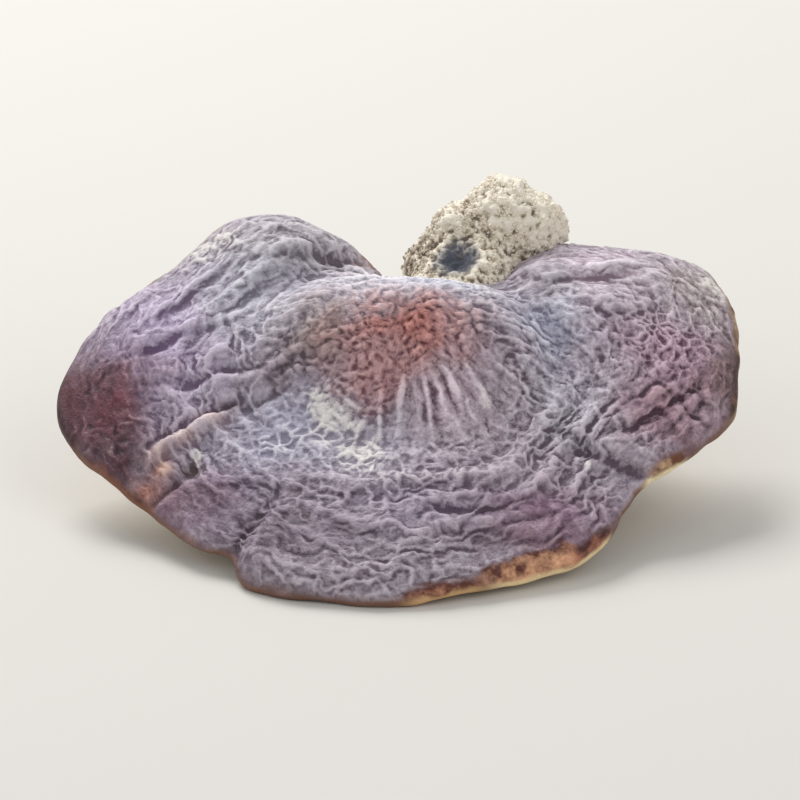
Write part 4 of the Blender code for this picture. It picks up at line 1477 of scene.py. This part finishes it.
    def cut_foot(self, mesh: bpy.types.Mesh) -> None:
        """Cuts the foot flat at the floor, closes it and turns the stem into clean triangles."""
        body = bmesh.new()
        body.from_mesh(mesh)
        floor = {"plane_co": (0, 0, 0), "plane_no": (0, 0, -1)}
        bmesh.ops.bisect_plane(body, geom=[*body.verts, *body.edges, *body.faces], clear_outer=True, **floor)
        bmesh.ops.holes_fill(body, edges=[e for e in body.edges if e.is_boundary])
        bmesh.ops.remove_doubles(body, verts=body.verts, dist=self.sliver * MM)
        bmesh.ops.dissolve_degenerate(body, edges=body.edges, dist=self.sliver * MM)
        bmesh.ops.triangulate(body, faces=body.faces, quad_method="BEAUTY", ngon_method="BEAUTY")
        for face in body.faces:
            face.smooth = max(v.co.z for v in face.verts) > JOIN
        for edge in body.edges:
            edge.smooth = len({f.smooth for f in edge.link_faces}) == 1
        body.to_mesh(mesh)
        body.free()

    def build(self) -> list[bpy.types.Object]:
        """Builds and dresses the stem.

        Returns:
            The stem as one closed mesh, and its crumbs.
        """
        heights = {"Crumb height": 1.0, "Bark height": self.bark_height, "Pit depth": self.pit_depth}
        values = {**heights, "Skin": self.finish.material()}
        mesh = self.cut_to_cap(grown(self.fused(), self.skin_tree(), values, "stem_raw"))
        self.cut_foot(mesh)
        stem = new_object("stem_body", mesh)
        values = {"Count": self.crumb_count / MM**2, "Skin": self.finish.material(loose=True)}
        crumbs = new_object("stem_crumbs", grown(mesh.copy(), self.crumb_tree(), values, "stem_crumbs"))
        for piece in (stem, crumbs):
            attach(piece, "root")
        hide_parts("stem")
        return [stem, crumbs]


@dataclass(frozen=True)
class Studio:
    """Pale floor, soft daylight and the camera."""

    floor_side: float = 6.0  # m
    floor_colour: str = "#d0ccc5"
    aim: tuple[float, float, float] = (-17.0, -37.0, 26.0)  # mm
    elevation: float = radians(24.0)
    distance: float = 1.45  # m
    lens: float = 312.0  # mm
    clip: tuple[float, float] = (0.05, 20.0)  # m
    sky: str = "#eef2f6"
    daylight: float = 0.62
    lights: Rows = (  # turn from the right-hand side, elevation, distance (m), width (m), power (W)
        (116.0, 50.0, 1.3, 0.6, 14.0),
        (-40.0, 38.0, 1.6, 1.1, 4.5),
        (-150.0, 35.0, 1.6, 1.0, 3.0),
    )

    def aimed(self, data: bpy.types.ID, turn: float, rise: float, distance: float) -> bpy.types.Object:
        """Hangs a light or the camera where it looks at the mushroom.

        Args:
            data: The light or the camera.
            turn: Turn from the right-hand side.
            rise: Angle over the floor.
            distance: Distance in metres.

        Returns:
            The object.
        """
        back = Vector((cos(turn) * cos(rise), sin(turn) * cos(rise), sin(rise)))
        thing = new_object(data.name, data)
        thing.location = Vector(self.aim) * MM + back * distance
        thing.rotation_euler = back.to_track_quat("Z", "Y").to_euler()
        return thing

    def build(self) -> None:
        """Builds the floor, the lights and the camera."""
        scene = bpy.context.scene
        bpy.ops.mesh.primitive_plane_add(size=self.floor_side)
        floor = bpy.context.object
        floor.name = "floor"
        ground = bpy.data.materials.new("matt_paper")
        ground.use_nodes = True
        shader = ground.node_tree.nodes["Principled BSDF"]
        shader.inputs["Base Color"].default_value = linear(self.floor_colour)
        shader.inputs["Roughness"].default_value = 0.9
        floor.data.materials.append(ground)
        for k, (turn, rise, distance, width, power) in enumerate(self.lights):
            light = bpy.data.lights.new(f"softbox_{k}", "AREA")
            light.size = width
            light.energy = power
            self.aimed(light, radians(turn), radians(rise), distance)
        world = bpy.data.worlds.new("daylight")
        world.use_nodes = True
        world.node_tree.nodes["Background"].inputs["Color"].default_value = linear(self.sky)
        world.node_tree.nodes["Background"].inputs["Strength"].default_value = self.daylight
        scene.world = world
        camera = bpy.data.cameras.new("camera")
        camera.lens = self.lens
        camera.clip_start, camera.clip_end = self.clip
        scene.camera = self.aimed(camera, radians(-90.0), self.elevation, self.distance)
        scene.view_settings.view_transform = "Standard"


def main() -> None:
    """Builds the mushroom, its light and its camera."""
    logging.basicConfig(level=logging.INFO, format="%(message)s")
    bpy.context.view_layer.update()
    Studio().build()
    for part in (Cap(), Stem()):
        for piece in part.build():
            piece.data.calc_loop_triangles()
            LOG.info("%s: %d triangles", piece.name, len(piece.data.loop_triangles))


if __name__ == "__main__":
    main()
